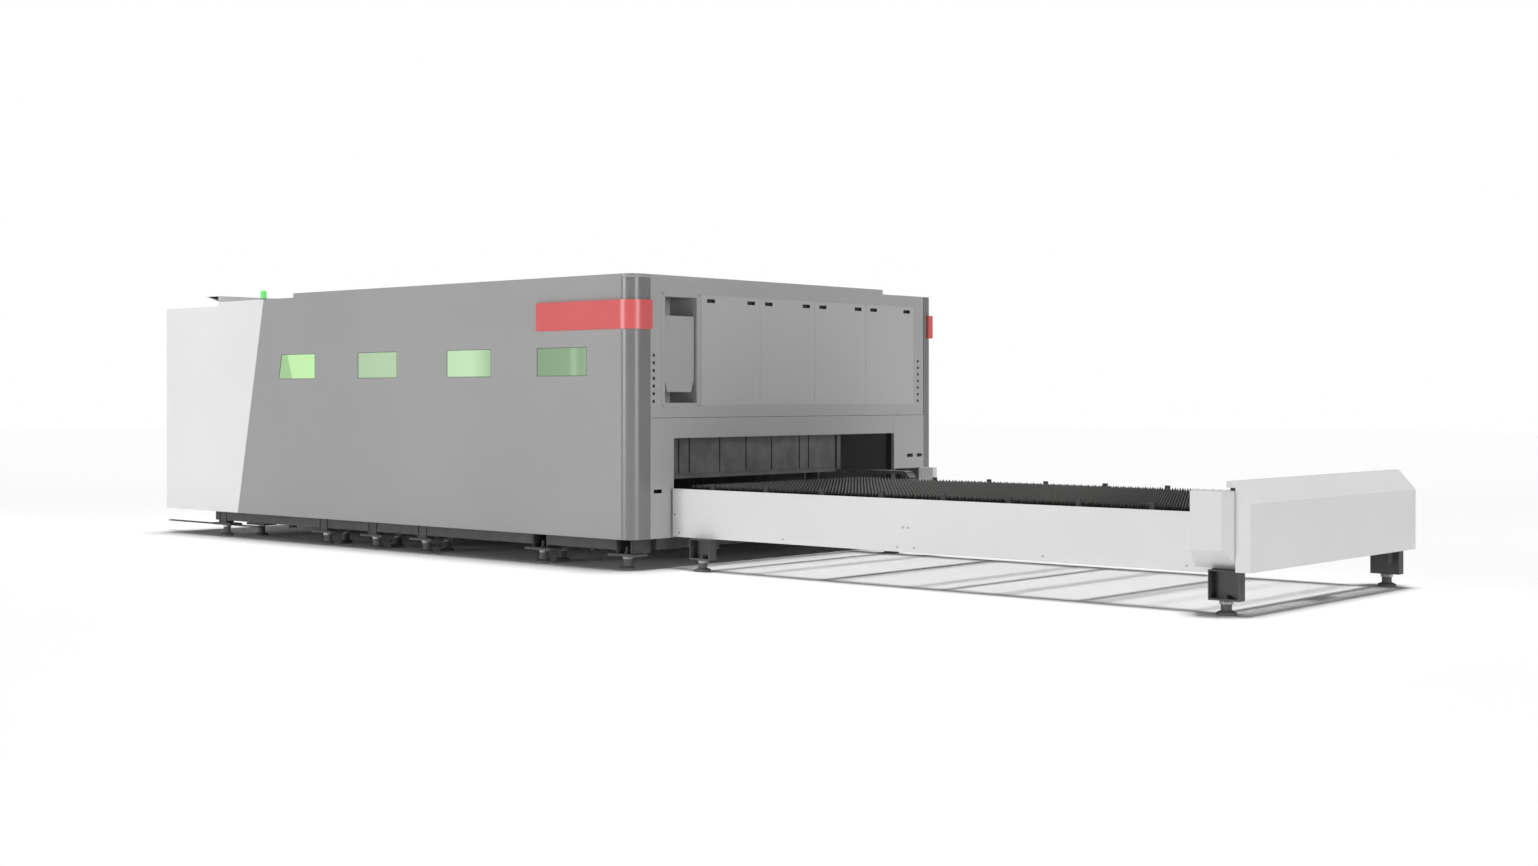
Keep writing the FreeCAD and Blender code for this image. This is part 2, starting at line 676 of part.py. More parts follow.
def transfer_track(y_plate, y_ledge, y_tongue):
    """Two-level bridge that carries the pallet wheels from the table into the bed."""
    pieces = [box(("-bed_right + 4", y_plate, "rail_low + 90"),
                  ("bed_right - 38", "web_thick", "upper_track - rail_low - 90.3"))]
    for level in ("upper_track", "upper_track - level_gap"):
        low = "%s - track_thick - track_gap" % level
        pieces.append(box(("-bed_right + 4", y_ledge, low),
                          ("bed_right - 38", 46, "track_thick")))
        pieces.append(box(("-34", y_tongue, low), (92, 28, "track_thick")))
    return fuse(pieces, "transfer_track")


def tray_ledge(face, way):
    """Angle along one side of a scrap tray, hung on the face of a cross tie."""
    def span(start, wide):
        return start if way > 0 else start - wide
    deep = "2 * centre_y - 2 * bed_near - 2 * beam_wide"
    near = "bed_near + beam_wide"
    return [box((span(face, 5), near, "plate_low + 21"), (5, deep, 75)),
            box((span(face, 45), near, "plate_low + 21"), (45, deep, 5))]


def lift_barrels():
    """Barrels of the four cylinders that raise the lift frame."""
    barrels = []
    for x in (5450, 1151):
        for y in (700, 2460):
            barrels.append(cut(rod(("-%s" % x, y, 60), 38, 195),
                               [rod(("-%s" % x, y, 66), 20.3, 195)]))
    return barrels


def bed_frame():
    length = "bed_left - bed_right"
    pieces = []
    for y in ("bed_near", mirrored("bed_near", "beam_wide")):
        pieces.append(tube(("-bed_left", y, "bed_low"),
                           (length, "beam_wide", "bed_top - bed_low"), "beam_wall", "X"))
    for x in BED_TIES:
        tie = cut(box(("-%s - 50" % x, "bed_near", "rail_low - 10"),
                      (100, "2 * centre_y - 2 * bed_near", "bed_low - rail_low + 10")),
                  [rod(("-%s" % x, y, "plate_low"), 38.2, 200) for y in (700, 2460)])
        pieces.append(tie)
    pieces.append(box(("-bed_right - 20", "bed_near", "rail_low"),
                      (100, "2 * centre_y - 2 * bed_near", "90")))
    for x in FOOT_ROWS["bed_near"]:
        pieces += foot_plate(x, "bed_foot")
        pieces.append(box(("-%s - 50" % x, "bed_foot - 60", "plate_low + plate_thick"),
                          (100, 120, "bed_low - plate_low - plate_thick")))
    for x in FOOT_ROWS["bed_far"]:
        pieces += foot_plate(x, mirrored("bed_foot"))
        pieces.append(box(("-%s - 50" % x, mirrored("bed_foot") + " - 60",
                           "plate_low + plate_thick"),
                          (100, 120, "bed_low - plate_low - plate_thick")))
    pieces.append(transfer_track("448", "448", "466"))
    pieces.append(transfer_track(mirrored("448", "web_thick"), mirrored("448", 46),
                                 mirrored("466", 28)))
    for face, way in ((-5400, 1), (-3390, -1), (-3290, 1), (-1201, -1)):
        pieces += tray_ledge(face, way)
    return group([fuse(pieces, "bed_weld")] + lift_barrels(), "bed_frame")


def levelling_foot(x, y, top):
    disc = rod((x, y, 0), "disc_radius", "disc_thick")
    bevel = cone((x, y, "disc_thick"), "disc_radius", "stem_radius + 6", 12)
    stem = rod((x, y, "disc_thick + 8"), "stem_radius", "%s - disc_thick - 8" % top)
    return fuse([disc, bevel, stem], "foot")


def levelling_feet():
    feet = []
    for x in FOOT_ROWS["near"]:
        feet.append(levelling_foot("-%s" % x, "foot_near", "plate_low"))
    for x in FOOT_ROWS["far"]:
        feet.append(levelling_foot("-%s" % x, "foot_far", "plate_low"))
    for x in FOOT_ROWS["bed_near"]:
        feet.append(levelling_foot("-%s" % x, "bed_foot", "plate_low"))
    for x in FOOT_ROWS["bed_far"]:
        feet.append(levelling_foot("-%s" % x, mirrored("bed_foot"), "plate_low"))
    for x in ("leg_a", "leg_b"):
        for y in ("centre_y - web_half - leg_deep / 2", "centre_y + web_half + leg_deep / 2"):
            feet.append(levelling_foot(x, y, "leg_low"))
    return group(feet, "levelling_feet")


# ---------------------------------------------------------------- linear axes and gears

def rack_teeth(first, count):
    """Toothed outline of a straight rack: along u, teeth towards -v, pitch line at v = 0."""
    module = number("gear_module")
    pitch = math.pi * module
    slope = math.tan(math.radians(20))
    half = pitch / 4 - number("gear_play") / 2
    points = []
    for index in range(count):
        middle = first + index * pitch
        points += [(middle - half - 1.25 * module * slope, 1.25 * module),
                   (middle - half + module * slope, -module),
                   (middle + half - module * slope, -module),
                   (middle + half + 1.25 * module * slope, 1.25 * module)]
    return points


def rack_solid(first, count, depth, place_point):
    """Prism of a rack; place_point turns rack u, v and height into a space point."""
    points = rack_teeth(first, count)
    start = points[0][0]
    end = points[-1][0]
    ring = [(start, depth)] + points + [(end, depth)]
    low = [place_point(u, v, 0) for u, v in ring]
    face = Part.Face(Part.makePolygon(low + [low[0]]))
    return face.extrude(place_point(0, 0, number("rack_thick")) - place_point(0, 0, 0))


def gear_shape(width):
    """Spur pinion about +Z with a tooth space centred on +Y."""
    module = number("gear_module")
    teeth = int(number("gear_teeth"))
    pitch_radius = module * teeth / 2
    base = pitch_radius * math.cos(math.radians(20))
    tip = pitch_radius + module
    root = pitch_radius - 1.25 * module
    play = number("gear_play") / (2 * pitch_radius)

    def spread(radius):
        """Half angle of a tooth at a radius."""
        if radius < base:
            radius = base
        turn = math.acos(base / radius)
        flat = math.acos(base / pitch_radius)
        return (math.pi / (2 * teeth) - play + (math.tan(flat) - flat)
                - (math.tan(turn) - turn))

    steps = [root, base, pitch_radius, tip]
    points = []
    for index in range(teeth):
        middle = math.pi / 2 + (index + 0.5) * 2 * math.pi / teeth
        for radius in steps:
            points.append((radius, middle - spread(radius)))
        for radius in reversed(steps):
            points.append((radius, middle + spread(radius)))
    ring = [V(r * math.cos(a), r * math.sin(a), 0) for r, a in points]
    return Part.Face(Part.makePolygon(ring + [ring[0]])).extrude(V(0, 0, width))


def pinion(label, at, width, turn, shaft_up):
    shape = gear_shape(width).fuse(Part.makeCylinder(10, shaft_up))
    item = solid_feature(label, shape.removeSplitter())
    corner = V(number("shift_x"), number("shift_y"), 0)
    item.Placement = FreeCAD.Placement(V(*at) + corner, FreeCAD.Rotation(V(0, 0, 1), turn))
    return item


def gantry_racks():
    pitch = math.pi * number("gear_module")
    near_line = number("bed_near") + 25
    far_line = 2 * number("centre_y") - near_line
    centre = -number("gantry_x")
    before = int((number("bed_left") - number("gantry_x") - 40) / pitch)
    after = int((number("gantry_x") - number("bed_right") - 40) / pitch)
    first = centre - before * pitch
    count = before + after + 1
    low = number("bed_top")
    near = rack_solid(first, count, number("rack_thick"),
                      lambda u, v, w: V(u, near_line + v, low + w))
    far = rack_solid(first, count, number("rack_thick"),
                     lambda u, v, w: V(u, far_line - v, low + w))
    return solid_feature("gantry_racks", Part.makeCompound([near, far]))


def gantry_rails():
    pieces = []
    for y in ("bed_foot - rail_width / 2 + 25", mirrored("bed_foot - rail_width / 2 + 25",
                                                         "rail_width")):
        pieces.append(box(("-bed_left + 20", y, "bed_top"),
                          ("bed_left - bed_right - 40", "rail_width", "rail_height")))
    return group(pieces, "gantry_rails")


def rail_block(x, y, size_x):
    """Bearing block that straddles a rail on the bed."""
    body = box((x, "%s - 40" % y, "bed_top + 6"), (size_x, 80, "truck_low - bed_top - 6"))
    slot = box(("%s - 1" % x, "%s - rail_width / 2 - 0.4" % y, "bed_top"),
               ("%s + 2" % size_x, "rail_width + 0.8", "rail_height + 0.4"))
    return cut(body, [slot])


def gantry_weld():
    start = "-gantry_x"
    beam = tube((start + " - beam_half", "bed_near - 50", "beam_low"),
                ("2 * beam_half", "2 * centre_y - 2 * bed_near + 100", "beam_high - beam_low"),
                "beam_wall", "Y")
    pieces = [beam]
    for side in (0, 1):
        y = "bed_near - 55" if side == 0 else mirrored("bed_near - 55", "285")
        truck = box((start + " - truck_half", y, "truck_low"),
                    ("2 * truck_half", "285", "beam_low - truck_low"))
        shaft_y = "bed_near - 5.3" if side == 0 else mirrored("bed_near - 5.3")
        bore = rod((start, shaft_y, "truck_low - 5"), 14, 400)
        pieces.append(cut(truck, [bore]))
        pieces[0] = cut(pieces[0], [rod((start, shaft_y, "truck_low - 5"), 14, 400)])
        pieces.append(box((start + " - 45", shaft_y + " - 45", "beam_high"), (90, 90, 190)))
        rail_y = "bed_foot + 25" if side == 0 else mirrored("bed_foot + 25")
        for step in (-190, 90):
            pieces.append(rail_block("%s + %d" % (start, step), rail_y, 100))
    for z in (940, 1140):
        pieces.append(box((start + " + beam_half", "bed_near + 20", z),
                          ("rail_height", "2 * centre_y - 2 * bed_near - 40", "rail_width")))
    return group(pieces, "gantry_pieces")


def carriage_rack():
    pitch = math.pi * number("gear_module")
    centre = number("centre_y")
    reach = int((centre - number("bed_near") - 60) / pitch)
    line = -number("gantry_x") + number("beam_half") + 25
    low = 1050
    return rack_solid(centre - reach * pitch, 2 * reach + 1, number("rack_thick"),
                      lambda u, v, w: V(line - v, u, low + w))


def y_carriage():
    start = "-gantry_x"
    plate = box((start + " + plate_near", "centre_y - 170", "beam_low + 3"),
                (20, 340, "1280 - beam_low - 3"))
    bracket = cut(box((start + " + 150", "centre_y - 60", 1240), ("plate_near - 150", 120, 18)),
                  [rod((start + " + beam_half + 55.3", "centre_y", 1200), 14, 100)])
    motor = box((start + " + 150", "centre_y - 45", 1258), (90, 90, 150))
    motor_cut = cut(motor, [rod((start + " + beam_half + 55.3", "centre_y", 1200), 14, 100)])
    pieces = [plate, bracket, motor_cut]
    for z in (940, 1140):
        for y in ("centre_y - 150", "centre_y + 70"):
            block = box((start + " + beam_half + 8", y, "%d - 15" % z),
                        ("plate_near - beam_half - 8", 80, 60))
            slot = box((start + " + beam_half", "%s - 1" % y, "%d - 0.4" % z),
                       ("rail_height + 0.4", 82, "rail_width + 0.8"))
            pieces.append(cut(block, [slot]))
    for y in ("centre_y - 75", "centre_y + 55"):
        pieces.append(box((start + " + plate_near + 20", y, 910), (16, 20, 360)))
    return fuse(pieces, "y_carriage")


def z_slide():
    start = "-gantry_x"
    plate = box((start + " + plate_near + 44", "centre_y - 105", 900), (16, 210, 300))
    pieces = [plate]
    for y in ("centre_y - 65", "centre_y + 65"):
        for z in (930, 1110):
            block = box((start + " + plate_near + 24", "%s - 25" % y, z), (22, 50, 60))
            slot = box((start + " + plate_near + 20", "%s - 10.4" % y, "%d - 1" % z),
                       ("16.4", "20.8", 62))
            pieces.append(cut(block, [slot]))
    shelf = box((start + " + plate_near + 60", "centre_y - 60", 960), (100, 120, 18))
    pieces.append(cut(shelf, [rod((start + " + head_reach", "centre_y", 950), 24.2, 40)]))
    return fuse(pieces, "z_slide")


def cutting_head():
    start = "-gantry_x + head_reach"
    pieces = [
        box((start + " - 42", "centre_y - 40", 978), (84, 80, 190)),
        rod((start, "centre_y", 1168), 14, 40),
        rod((start, "centre_y", 850), 30, 110),
        cone((start, "centre_y", 800), 16, 30, 50),
        rod((start, "centre_y", 785), 11, 15),
        cone((start, "centre_y", "nozzle_tip"), 3, 10, "785 - nozzle_tip"),
    ]
    neck = rod((start, "centre_y", 950), 24, 40)
    pieces.append(neck)
    return fuse(pieces, "cutting_head")


# ---------------------------------------------------------------- pallets and lift

def saw_slat(x, base):
    """Upright sheet with a saw-toothed upper edge."""
    half = number("slat_half")
    pitch = number("tooth_pitch")
    depth = number("tooth_depth")
    top = base + number("slat_height")
    count = int(2 * half / pitch)
    start = number("centre_y") - half
    points = [V(x, start, base), V(x, start, top - depth)]
    for index in range(count):
        tooth = start + index * pitch
        points += [V(x, tooth + pitch / 2 - 1.5, top), V(x, tooth + pitch / 2 + 1.5, top),
                   V(x, tooth + pitch, top - depth)]
    points.append(V(x, start + count * pitch, base))
    face = Part.Face(Part.makePolygon(points + [points[0]]))
    return face.extrude(V(number("slat_thick"), 0, 0))


def slats(label, start, drop):
    base = number("upper_track") + number("rail_rise") + number("pallet_rail") - drop
    pitch = number("slat_pitch")
    first = start + number("slat_start")
    solids = [saw_slat(first + index * pitch, base) for index in range(int(number("slat_count")))]
    return solid_feature(label, Part.makeCompound(solids))


def comb(start, y, base):
    """Notched plate that holds the slats upright."""
    pitch = number("slat_pitch")
    half_gap = 0.5
    top = base + 25
    points = [V(start + 30, y, base - 5)]
    for index in range(int(number("slat_count"))):
        left = start + number("slat_start") + index * pitch - half_gap
        right = left + number("slat_thick") + 2 * half_gap
        points += [V(left, y, top), V(left, y, base - 0.5), V(right, y, base - 0.5),
                   V(right, y, top)]
        if index == 0:
            points.insert(1, V(start + 30, y, top))
    end = start + number("pallet_length") - 30
    points += [V(end, y, top), V(end, y, base - 5)]
    return Part.Face(Part.makePolygon(points + [points[0]])).extrude(V(0, 4, 0))


AXLES = (430, 4130)


def chain_catch(start, low, finger):
    """Arm on the near rail whose tip the chain's pin takes, above or below the chain."""
    near = "centre_y - pallet_half"
    at = "%s + pallet_length - 120" % start
    tip = "chain_height + (%d)" % finger
    if finger > 0:
        base, top = tip, "%s + 10" % low
    else:
        base, top = low, "%s + 14" % tip
    arm = box((at, near + " - 5", base), (60, 5, "(%s) - (%s)" % (top, base)))
    return fuse([arm, box((at, near + " - 11", tip), (60, 6, 14))], "catch")


def pallet_frame(label, start, level, finger):
    """Welded pallet: two long tubes, cross tubes, slat combs, stop blocks and a chain catch."""
    low = "%s + rail_rise" % level
    pieces = []
    for y in ("centre_y - pallet_half", "centre_y + pallet_half - pallet_rail"):
        rail = tube((start, y, low), ("pallet_length", "pallet_rail", "pallet_rail"), 4, "X")
        bores = [rod(("%s + %d" % (start, x), "%s - 1" % y, "%s + wheel_radius" % level),
                     "axle_radius + bore_gap", "pallet_rail + 2", "+Y") for x in AXLES]
        pieces.append(cut(rail, bores))
    for x in PALLET_TIES:
        pieces.append(tube(("%s + %d" % (start, x), "centre_y - pallet_half + pallet_rail",
                            "%s + 5" % low),
                           (50, "2 * pallet_half - 2 * pallet_rail", 40), 4, "Y"))
    for step in range(8):
        for y in ("centre_y - pallet_half", "centre_y + pallet_half - 14"):
            pieces.append(box(("%s + block_start + %d * block_pitch" % (start, step), y,
                               "%s + pallet_rail" % low),
                              (40, 14, "block_top - rail_rise - pallet_rail")))
    pieces.append(chain_catch(start, low, finger))
    base = number(low) + number("pallet_rail")
    combs = []
    for y in (number("centre_y - pallet_half + pallet_rail"),
              number("centre_y + pallet_half - pallet_rail") - 4):
        combs.append(comb(number(start), y, base))
    pieces.append(solid_feature(label + "_combs", Part.makeCompound(combs)))
    return group(pieces, label)


def wheel_axle(label, x, level):
    """Through axle with a wheel at each end."""
    height = "%s + wheel_radius" % level
    near = "centre_y - pallet_half - 34"
    pieces = [rod((x, near, height), "axle_radius", "2 * pallet_half + 68", "+Y")]
    for y in ("centre_y - pallet_half - 28", "centre_y + pallet_half + 8"):
        wheel = cut(rod((x, y, height), "wheel_radius", 20, "+Y"),
                    [cut(rod((x, "%s - 1" % y, height), "wheel_radius - 6", 5, "+Y"),
                         [rod((x, "%s - 2" % y, height), "axle_radius + 5", 8, "+Y")])])
        pieces.append(wheel)
    return fuse(pieces, label)


def lift_frame():
    """Lift that carries both track levels: side plates, ledges, cross ties and four rods."""
    low = "upper_track - level_gap - track_thick - track_gap"
    length = "5530 - 610"
    pieces = []
    for y_plate, y_ledge in (("446", "458"), (mirrored("446", 12), mirrored("458", 36))):
        pieces.append(box(("-5530", y_plate, 262), (length, 12, "%s - 262 + track_thick" % low)))
        pieces.append(box(("-5530", y_ledge, low), (length, 36, "track_thick")))
    for x in LIFT_TIES:
        pieces.append(box(("-%s" % x, "458", 262), (60, "2 * centre_y - 2 * 458", 45)))
    for x in (5450, 1151):
        for y in (700, 2460):
            pieces.append(rod(("-%s" % x, y, 67), 20, 195))
    return group(pieces, "lift_frame")


# ---------------------------------------------------------------- exchange table

def table_frame():
    """Two webs with flanges and two track levels each, cross ties, and four legs outside."""
    start = "table_start"
    length = "table_end - table_start"
    web = "centre_y - web_half"
    inner = "centre_y - web_half + web_thick"
    pieces = []
    for side in (0, 1):
        def at(y, wide):
            return y if side == 0 else mirrored(y, wide)
        sheet_web = box((start, at(web, "web_thick"), "skirt_low + 4"),
                        (length, "web_thick", "skirt_high - skirt_low - 8"))
        bore = rod(("drive_x", at(web, "web_thick") + " - 2", "chain_height"), "12.1",
                   "web_thick + 4", "+Y")
        pieces.append(cut(sheet_web, [bore]))
        pieces.append(box((start, at(inner, 28), "skirt_high - 14"), (length, 28, 10)))
        pieces.append(box((start, at(inner, 58), "skirt_low + 4"), (length, 58, 10)))
        for level in ("upper_track", "upper_track - level_gap"):
            pieces.append(box((start, at(inner, 52), "%s - track_thick - track_gap" % level),
                              ("4720 - table_start", 52, "track_thick")))
        pieces += table_leg("leg_a", side, "skirt_low - 1")
        pieces += table_leg("leg_b", side, "guard_low - leg_gap")
    for x in TABLE_TIES:
        pieces.append(box(("%d - 30" % x, inner, "skirt_low + 14"),
                          (60, "2 * web_half - 2 * web_thick", 46)))
    return group(pieces, "table_frame")


def table_leg(x, side, top):
    """Leg outside the web, open on its outer face for the foot's nut, and the arm under the web."""
    y = "centre_y - web_half - leg_deep" if side == 0 else "centre_y + web_half"
    inner_y = "%s - 1" % y if side == 0 else "%s + 8" % y
    arm_y = "centre_y - web_half" if side == 0 else "centre_y + web_half - 80"
    outer = box(("%s - leg_long / 2" % x, y, "leg_low"),
                ("leg_long", "leg_deep", "%s - leg_low" % top))
    room = box(("%s - leg_long / 2 + 8" % x, inner_y, "leg_low + 12"),
               ("leg_long - 16", "leg_deep - 7", "%s - leg_low - 20" % top))
    bolt = rod((x, "%s + leg_deep / 2" % y, "leg_low + 11"), "bolt_radius", 22)
    nut = rod((x, "%s + leg_deep / 2" % y, "leg_low + 11"), "bolt_radius + 10", 10)
    arm = box(("%s - 60" % x, arm_y, "leg_low + 80"),
              (120, 80, "skirt_low + 4 - leg_low - 80"))
    return [fuse([cut(outer, [room]), bolt, nut], "leg"), arm]


def skirt(label, side):
    """White folded cladding sheet of one long beam."""
    near = "centre_y - skirt_half"
    def at(wide):
        return near if side == 0 else mirrored(near, wide)
    length = "4698 - skirt_start"
    sheet_face = box(("skirt_start", at(3), "skirt_low"), (length, 3, "skirt_high - skirt_low"))
    top = box(("skirt_start", at(30), "skirt_high - 3"), (length, 30, 3))
    low = box(("skirt_start", at(5), "skirt_low"), (length, 5, 3))
    return fuse([sheet_face, top, low], label)


def end_cover():
    """Folded cover over the drive end: front, slope, lower return and two cheeks."""
    body = new_body("cover_shell", ("4640", "centre_y + cover_half", "0"))
    section = sketch_on(body, "XZ_Plane")
    front = "cover_front - 4640"
    back = "cover_back - 4640"
    outline(section, [
        (front + " - 50", "cover_low"), (front, "cover_low"), (front, "cover_fold"),
        (back, "cover_top"), (back + " - 40", "cover_top"), (back + " - 40", "cover_top - 3"),
        (back + " - 1.5", "cover_top - 3"), (front + " - 3", "cover_fold - 1.5"),
        (front + " - 3", "cover_low + 3"), (front + " - 50", "cover_low + 3")])
    pad(body, section, "2 * cover_half")
    pieces = [body]
    for index, y in enumerate(("centre_y + cover_half", "centre_y - cover_half + 3")):
        cheek = new_body("cheek_%d" % (index + 1), ("4640", y, "0"))
        side = sketch_on(cheek, "XZ_Plane")
        outline(side, [(front + " - 100", "cover_low"), (front, "cover_low"),
                       (front, "cover_fold"), (back, "cover_top"),
                       (back + " - 40", "cover_top"), (back + " - 40", "cover_top - 40"),
                       (front + " - 100", "cover_top - 40")])
        pad(cheek, side, "3")
        pieces.append(cheek)
    return fuse(pieces, "end_cover")


def guard_shell(x, y_out, y_in, high):
    """Tapered hollow guard: the outer face is drawn in at its lower and end edges."""
    def loop(depth, left, right, low, top):
        corners = [V(left, depth, low), V(right, depth, low), V(right, depth, top),
                   V(left, depth, top)]
        return Part.makePolygon(corners + [corners[0]])

    wall = 3
    step = 1 if y_in > y_out else -1
    low = number("guard_low")
    outer = Part.makeLoft([loop(y_in, x - 75, x + 262, low, high),
                           loop(y_out, x, x + 214, low + 126, high)], True)
    inner = Part.makeLoft([loop(y_in + step, x - 75 + wall, x + 262 - wall, low + wall,
                                high - wall),
                           loop(y_out + step * wall, x + wall, x + 214 - wall,
                                low + 126 + wall, high - wall)], True)
    return outer.cut(inner)


def guard(label, side):
    half = number("guard_half")
    middle = number("centre_y")
    face = number("skirt_half") + 1
    if side == 0:
        shape = guard_shell(4657, middle - half, middle - face, 768)
    else:
        shape = guard_shell(4657, middle + half, middle + face, 768)
    return solid_feature(label, shape)


def far_inner_cover():
    """Shallow white cover on the far beam, next to the enclosure, open at the bottom."""
    y = "centre_y + skirt_half + 1"
    outer = box(("700", y, "300"), (150, 54, 447))
    inner = box(("703", "%s + 3" % y, "299"), (144, 48, 445))
    return cut(outer, [inner], "far_inner_cover")


def drive_motor():
    """Geared motor that sits on the last cross tube with the drive shaft through its gearbox."""
    gearbox = cut(box(("drive_x - 75", "centre_y - 60", "chain_height - 75"), (130, 120, 150)),
                  [rod(("drive_x", "centre_y - 70", "chain_height"), 12.3, 140, "+Y")])
    motor = rod(("drive_x - 10", "centre_y + 60", "chain_height + 20"), 55, 240, "+Y")
    motor_cut = cut(motor, [rod(("drive_x", "centre_y", "chain_height"), 12.6, 400, "+Y")])
    foot = box(("drive_x - 75", "centre_y - 60", "skirt_low + 60"),
               (60, 120, "chain_height - 75 - skirt_low - 60"))
    return fuse([gearbox, motor_cut, foot], "drive_motor")


def drive_shaft():
    near = "centre_y - web_half - 2"
    pieces = [rod(("drive_x", near, "chain_height"), 12, "2 * web_half + 4", "+Y")]
    for y in ("centre_y - chain_half", "centre_y + chain_half - chain_wide"):
        pieces.append(rod(("drive_x", y, "chain_height"), "chain_radius - chain_thick - 0.4",
                          "chain_wide", "+Y"))
    return fuse(pieces, "drive_shaft")


def chain_band(y):
    """Closed band of one chain, round the drive sprocket and the return shoe."""
    def stadium(radius):
        ends = [rod((x, y, "chain_height"), radius, "chain_wide", "+Y")
                for x in ("-idler_x", "drive_x")]
        run = box(("-idler_x", y, "chain_height - %s" % radius),
                  ("drive_x + idler_x", "chain_wide", "2 * (%s)" % radius))
        return fuse(ends + [run], "loop")
    return cut(stadium("chain_radius"), [stadium("(chain_radius - chain_thick)")], "band")


def drive_chains():
    bands = [chain_band(y) for y in ("centre_y - chain_half",
                                     "centre_y + chain_half - chain_wide")]
    for y in ("centre_y - chain_half", "centre_y + chain_half - chain_wide"):
        bands.append(rod(("-idler_x", y, "chain_height"), "chain_radius - chain_thick - 0.3",
                         "chain_wide", "+Y"))
    return group(bands, "drive_chains")


# ---------------------------------------------------------------- inner door, trays, source

def inner_door():
    face = box(("-door_x", "door_near", "door_low"), ("door_thick", "door_wide", "door_tall"))
    grooves = []
    middle = "door_near + door_wide / 2"
    for offset in (-826, -700, -330, 0, 330, 700, 826):
        grooves.append(box(("-door_x + door_thick - 22", "%s + %d - groove / 2" % (middle, offset),
                            "door_low + 45"), (30, "groove", "door_tall")))
    leaf = cut(face, grooves)
    lip = box(("-door_x + door_thick", "door_near", "door_low + 4"), (14, "door_wide", 26))
    pieces = [leaf, lip]
    for y in ("door_near + 60", "door_near + door_wide - 60"):
        pieces.append(rod(("-door_x + door_thick / 2", y, "door_low + door_tall - 5"), 12, 520))
    return fuse(pieces, "inner_door")


def door_guides():
    """Two upright guide channels, the header that carries them, and the lifting cylinders."""
    pieces = []
    for y, slot in (("door_near - 30", "door_near - 2"),
                    ("door_near + door_wide - 20", "door_near + door_wide - 21")):
        post = box(("-door_x - 20", y, "door_low"), ("door_thick + 40", 50, 1465))
        room = box(("-door_x - 2", slot, "door_low - 1"), ("door_thick + 18", 23, 1200))
        pieces.append(cut(post, [room]))
    for y in ("door_near + 60", "door_near + door_wide - 60"):
        barrel = cut(rod(("-door_x + door_thick / 2", y, 1580), 30, 560),
                     [rod(("-door_x + door_thick / 2", y, 1579), 12.3, 540)])
        pieces.append(barrel)
    header = box(("-door_x - 20", "door_near - 30", 2140), ("door_thick + 40",
                                                            "door_wide + 60", 40))
    pieces.append(header)
    return fuse(pieces, "door_guides")


def scrap_tray(label, left, wide):
    near = "bed_near + beam_wide + 20"
    deep = "2 * centre_y - 2 * bed_near - 2 * beam_wide - 40"
    outer = box(("-%d" % left, near, 132), (wide, deep, 96))
    inner = box(("-%d + 4" % left, near + " + 4", 136), (wide - 8, deep + " - 8", 96))
    bar_y = "%s + %s" % (near, deep)
    pieces = [cut(outer, [inner])]
    for offset in (wide / 2 - 200, wide / 2 + 180):
        pieces.append(box(("-%d + %g" % (left, offset), bar_y, 150), (20, 1060, 12)))
    pieces.append(box(("-%d + %g" % (left, wide / 2 - 200), bar_y + " + 1040", 150),
                      (400, 20, 12)))
    return fuse(pieces, label)


def laser_source():
    """Fibre source cabinet behind the left end wall, on its plinth."""
    cabinet = cut(box(("-6450", 420, 300), (620, 900, 1250)),
                  [box(("-6445", 425, 299), (610, 890, 1246))])
    plinth = box(("-6415", 440, "panel_low"), (565, 860, 60))
    vent = [box(("-5832", "560 + %d * 60" % step, 420), (10, 24, 300)) for step in range(10)]
    return fuse([cut(cabinet, vent), plinth], "laser_source")


def screws():
    """Cap screws of the niche rim and of the beam cladding."""
    heads = []
    for y in ("niche_near - 20", "niche_far + 20"):
        for z in ("niche_low - 20", "niche_high + 20"):
            heads.append(rod(("2", y, z), 8, 3, "+X"))
    face = "centre_y - skirt_half - 3"
    for x, z in ((48, 424), (98, 285), (1167, 285), (2288, 424), (2333, 424), (2237, 285),
                 (2387, 285), (3454, 285), (4523, 285)):
        heads.append(rod((x, face, z), 7, 3, "+Y"))
    return group(heads, "screws")


# ---------------------------------------------------------------- build

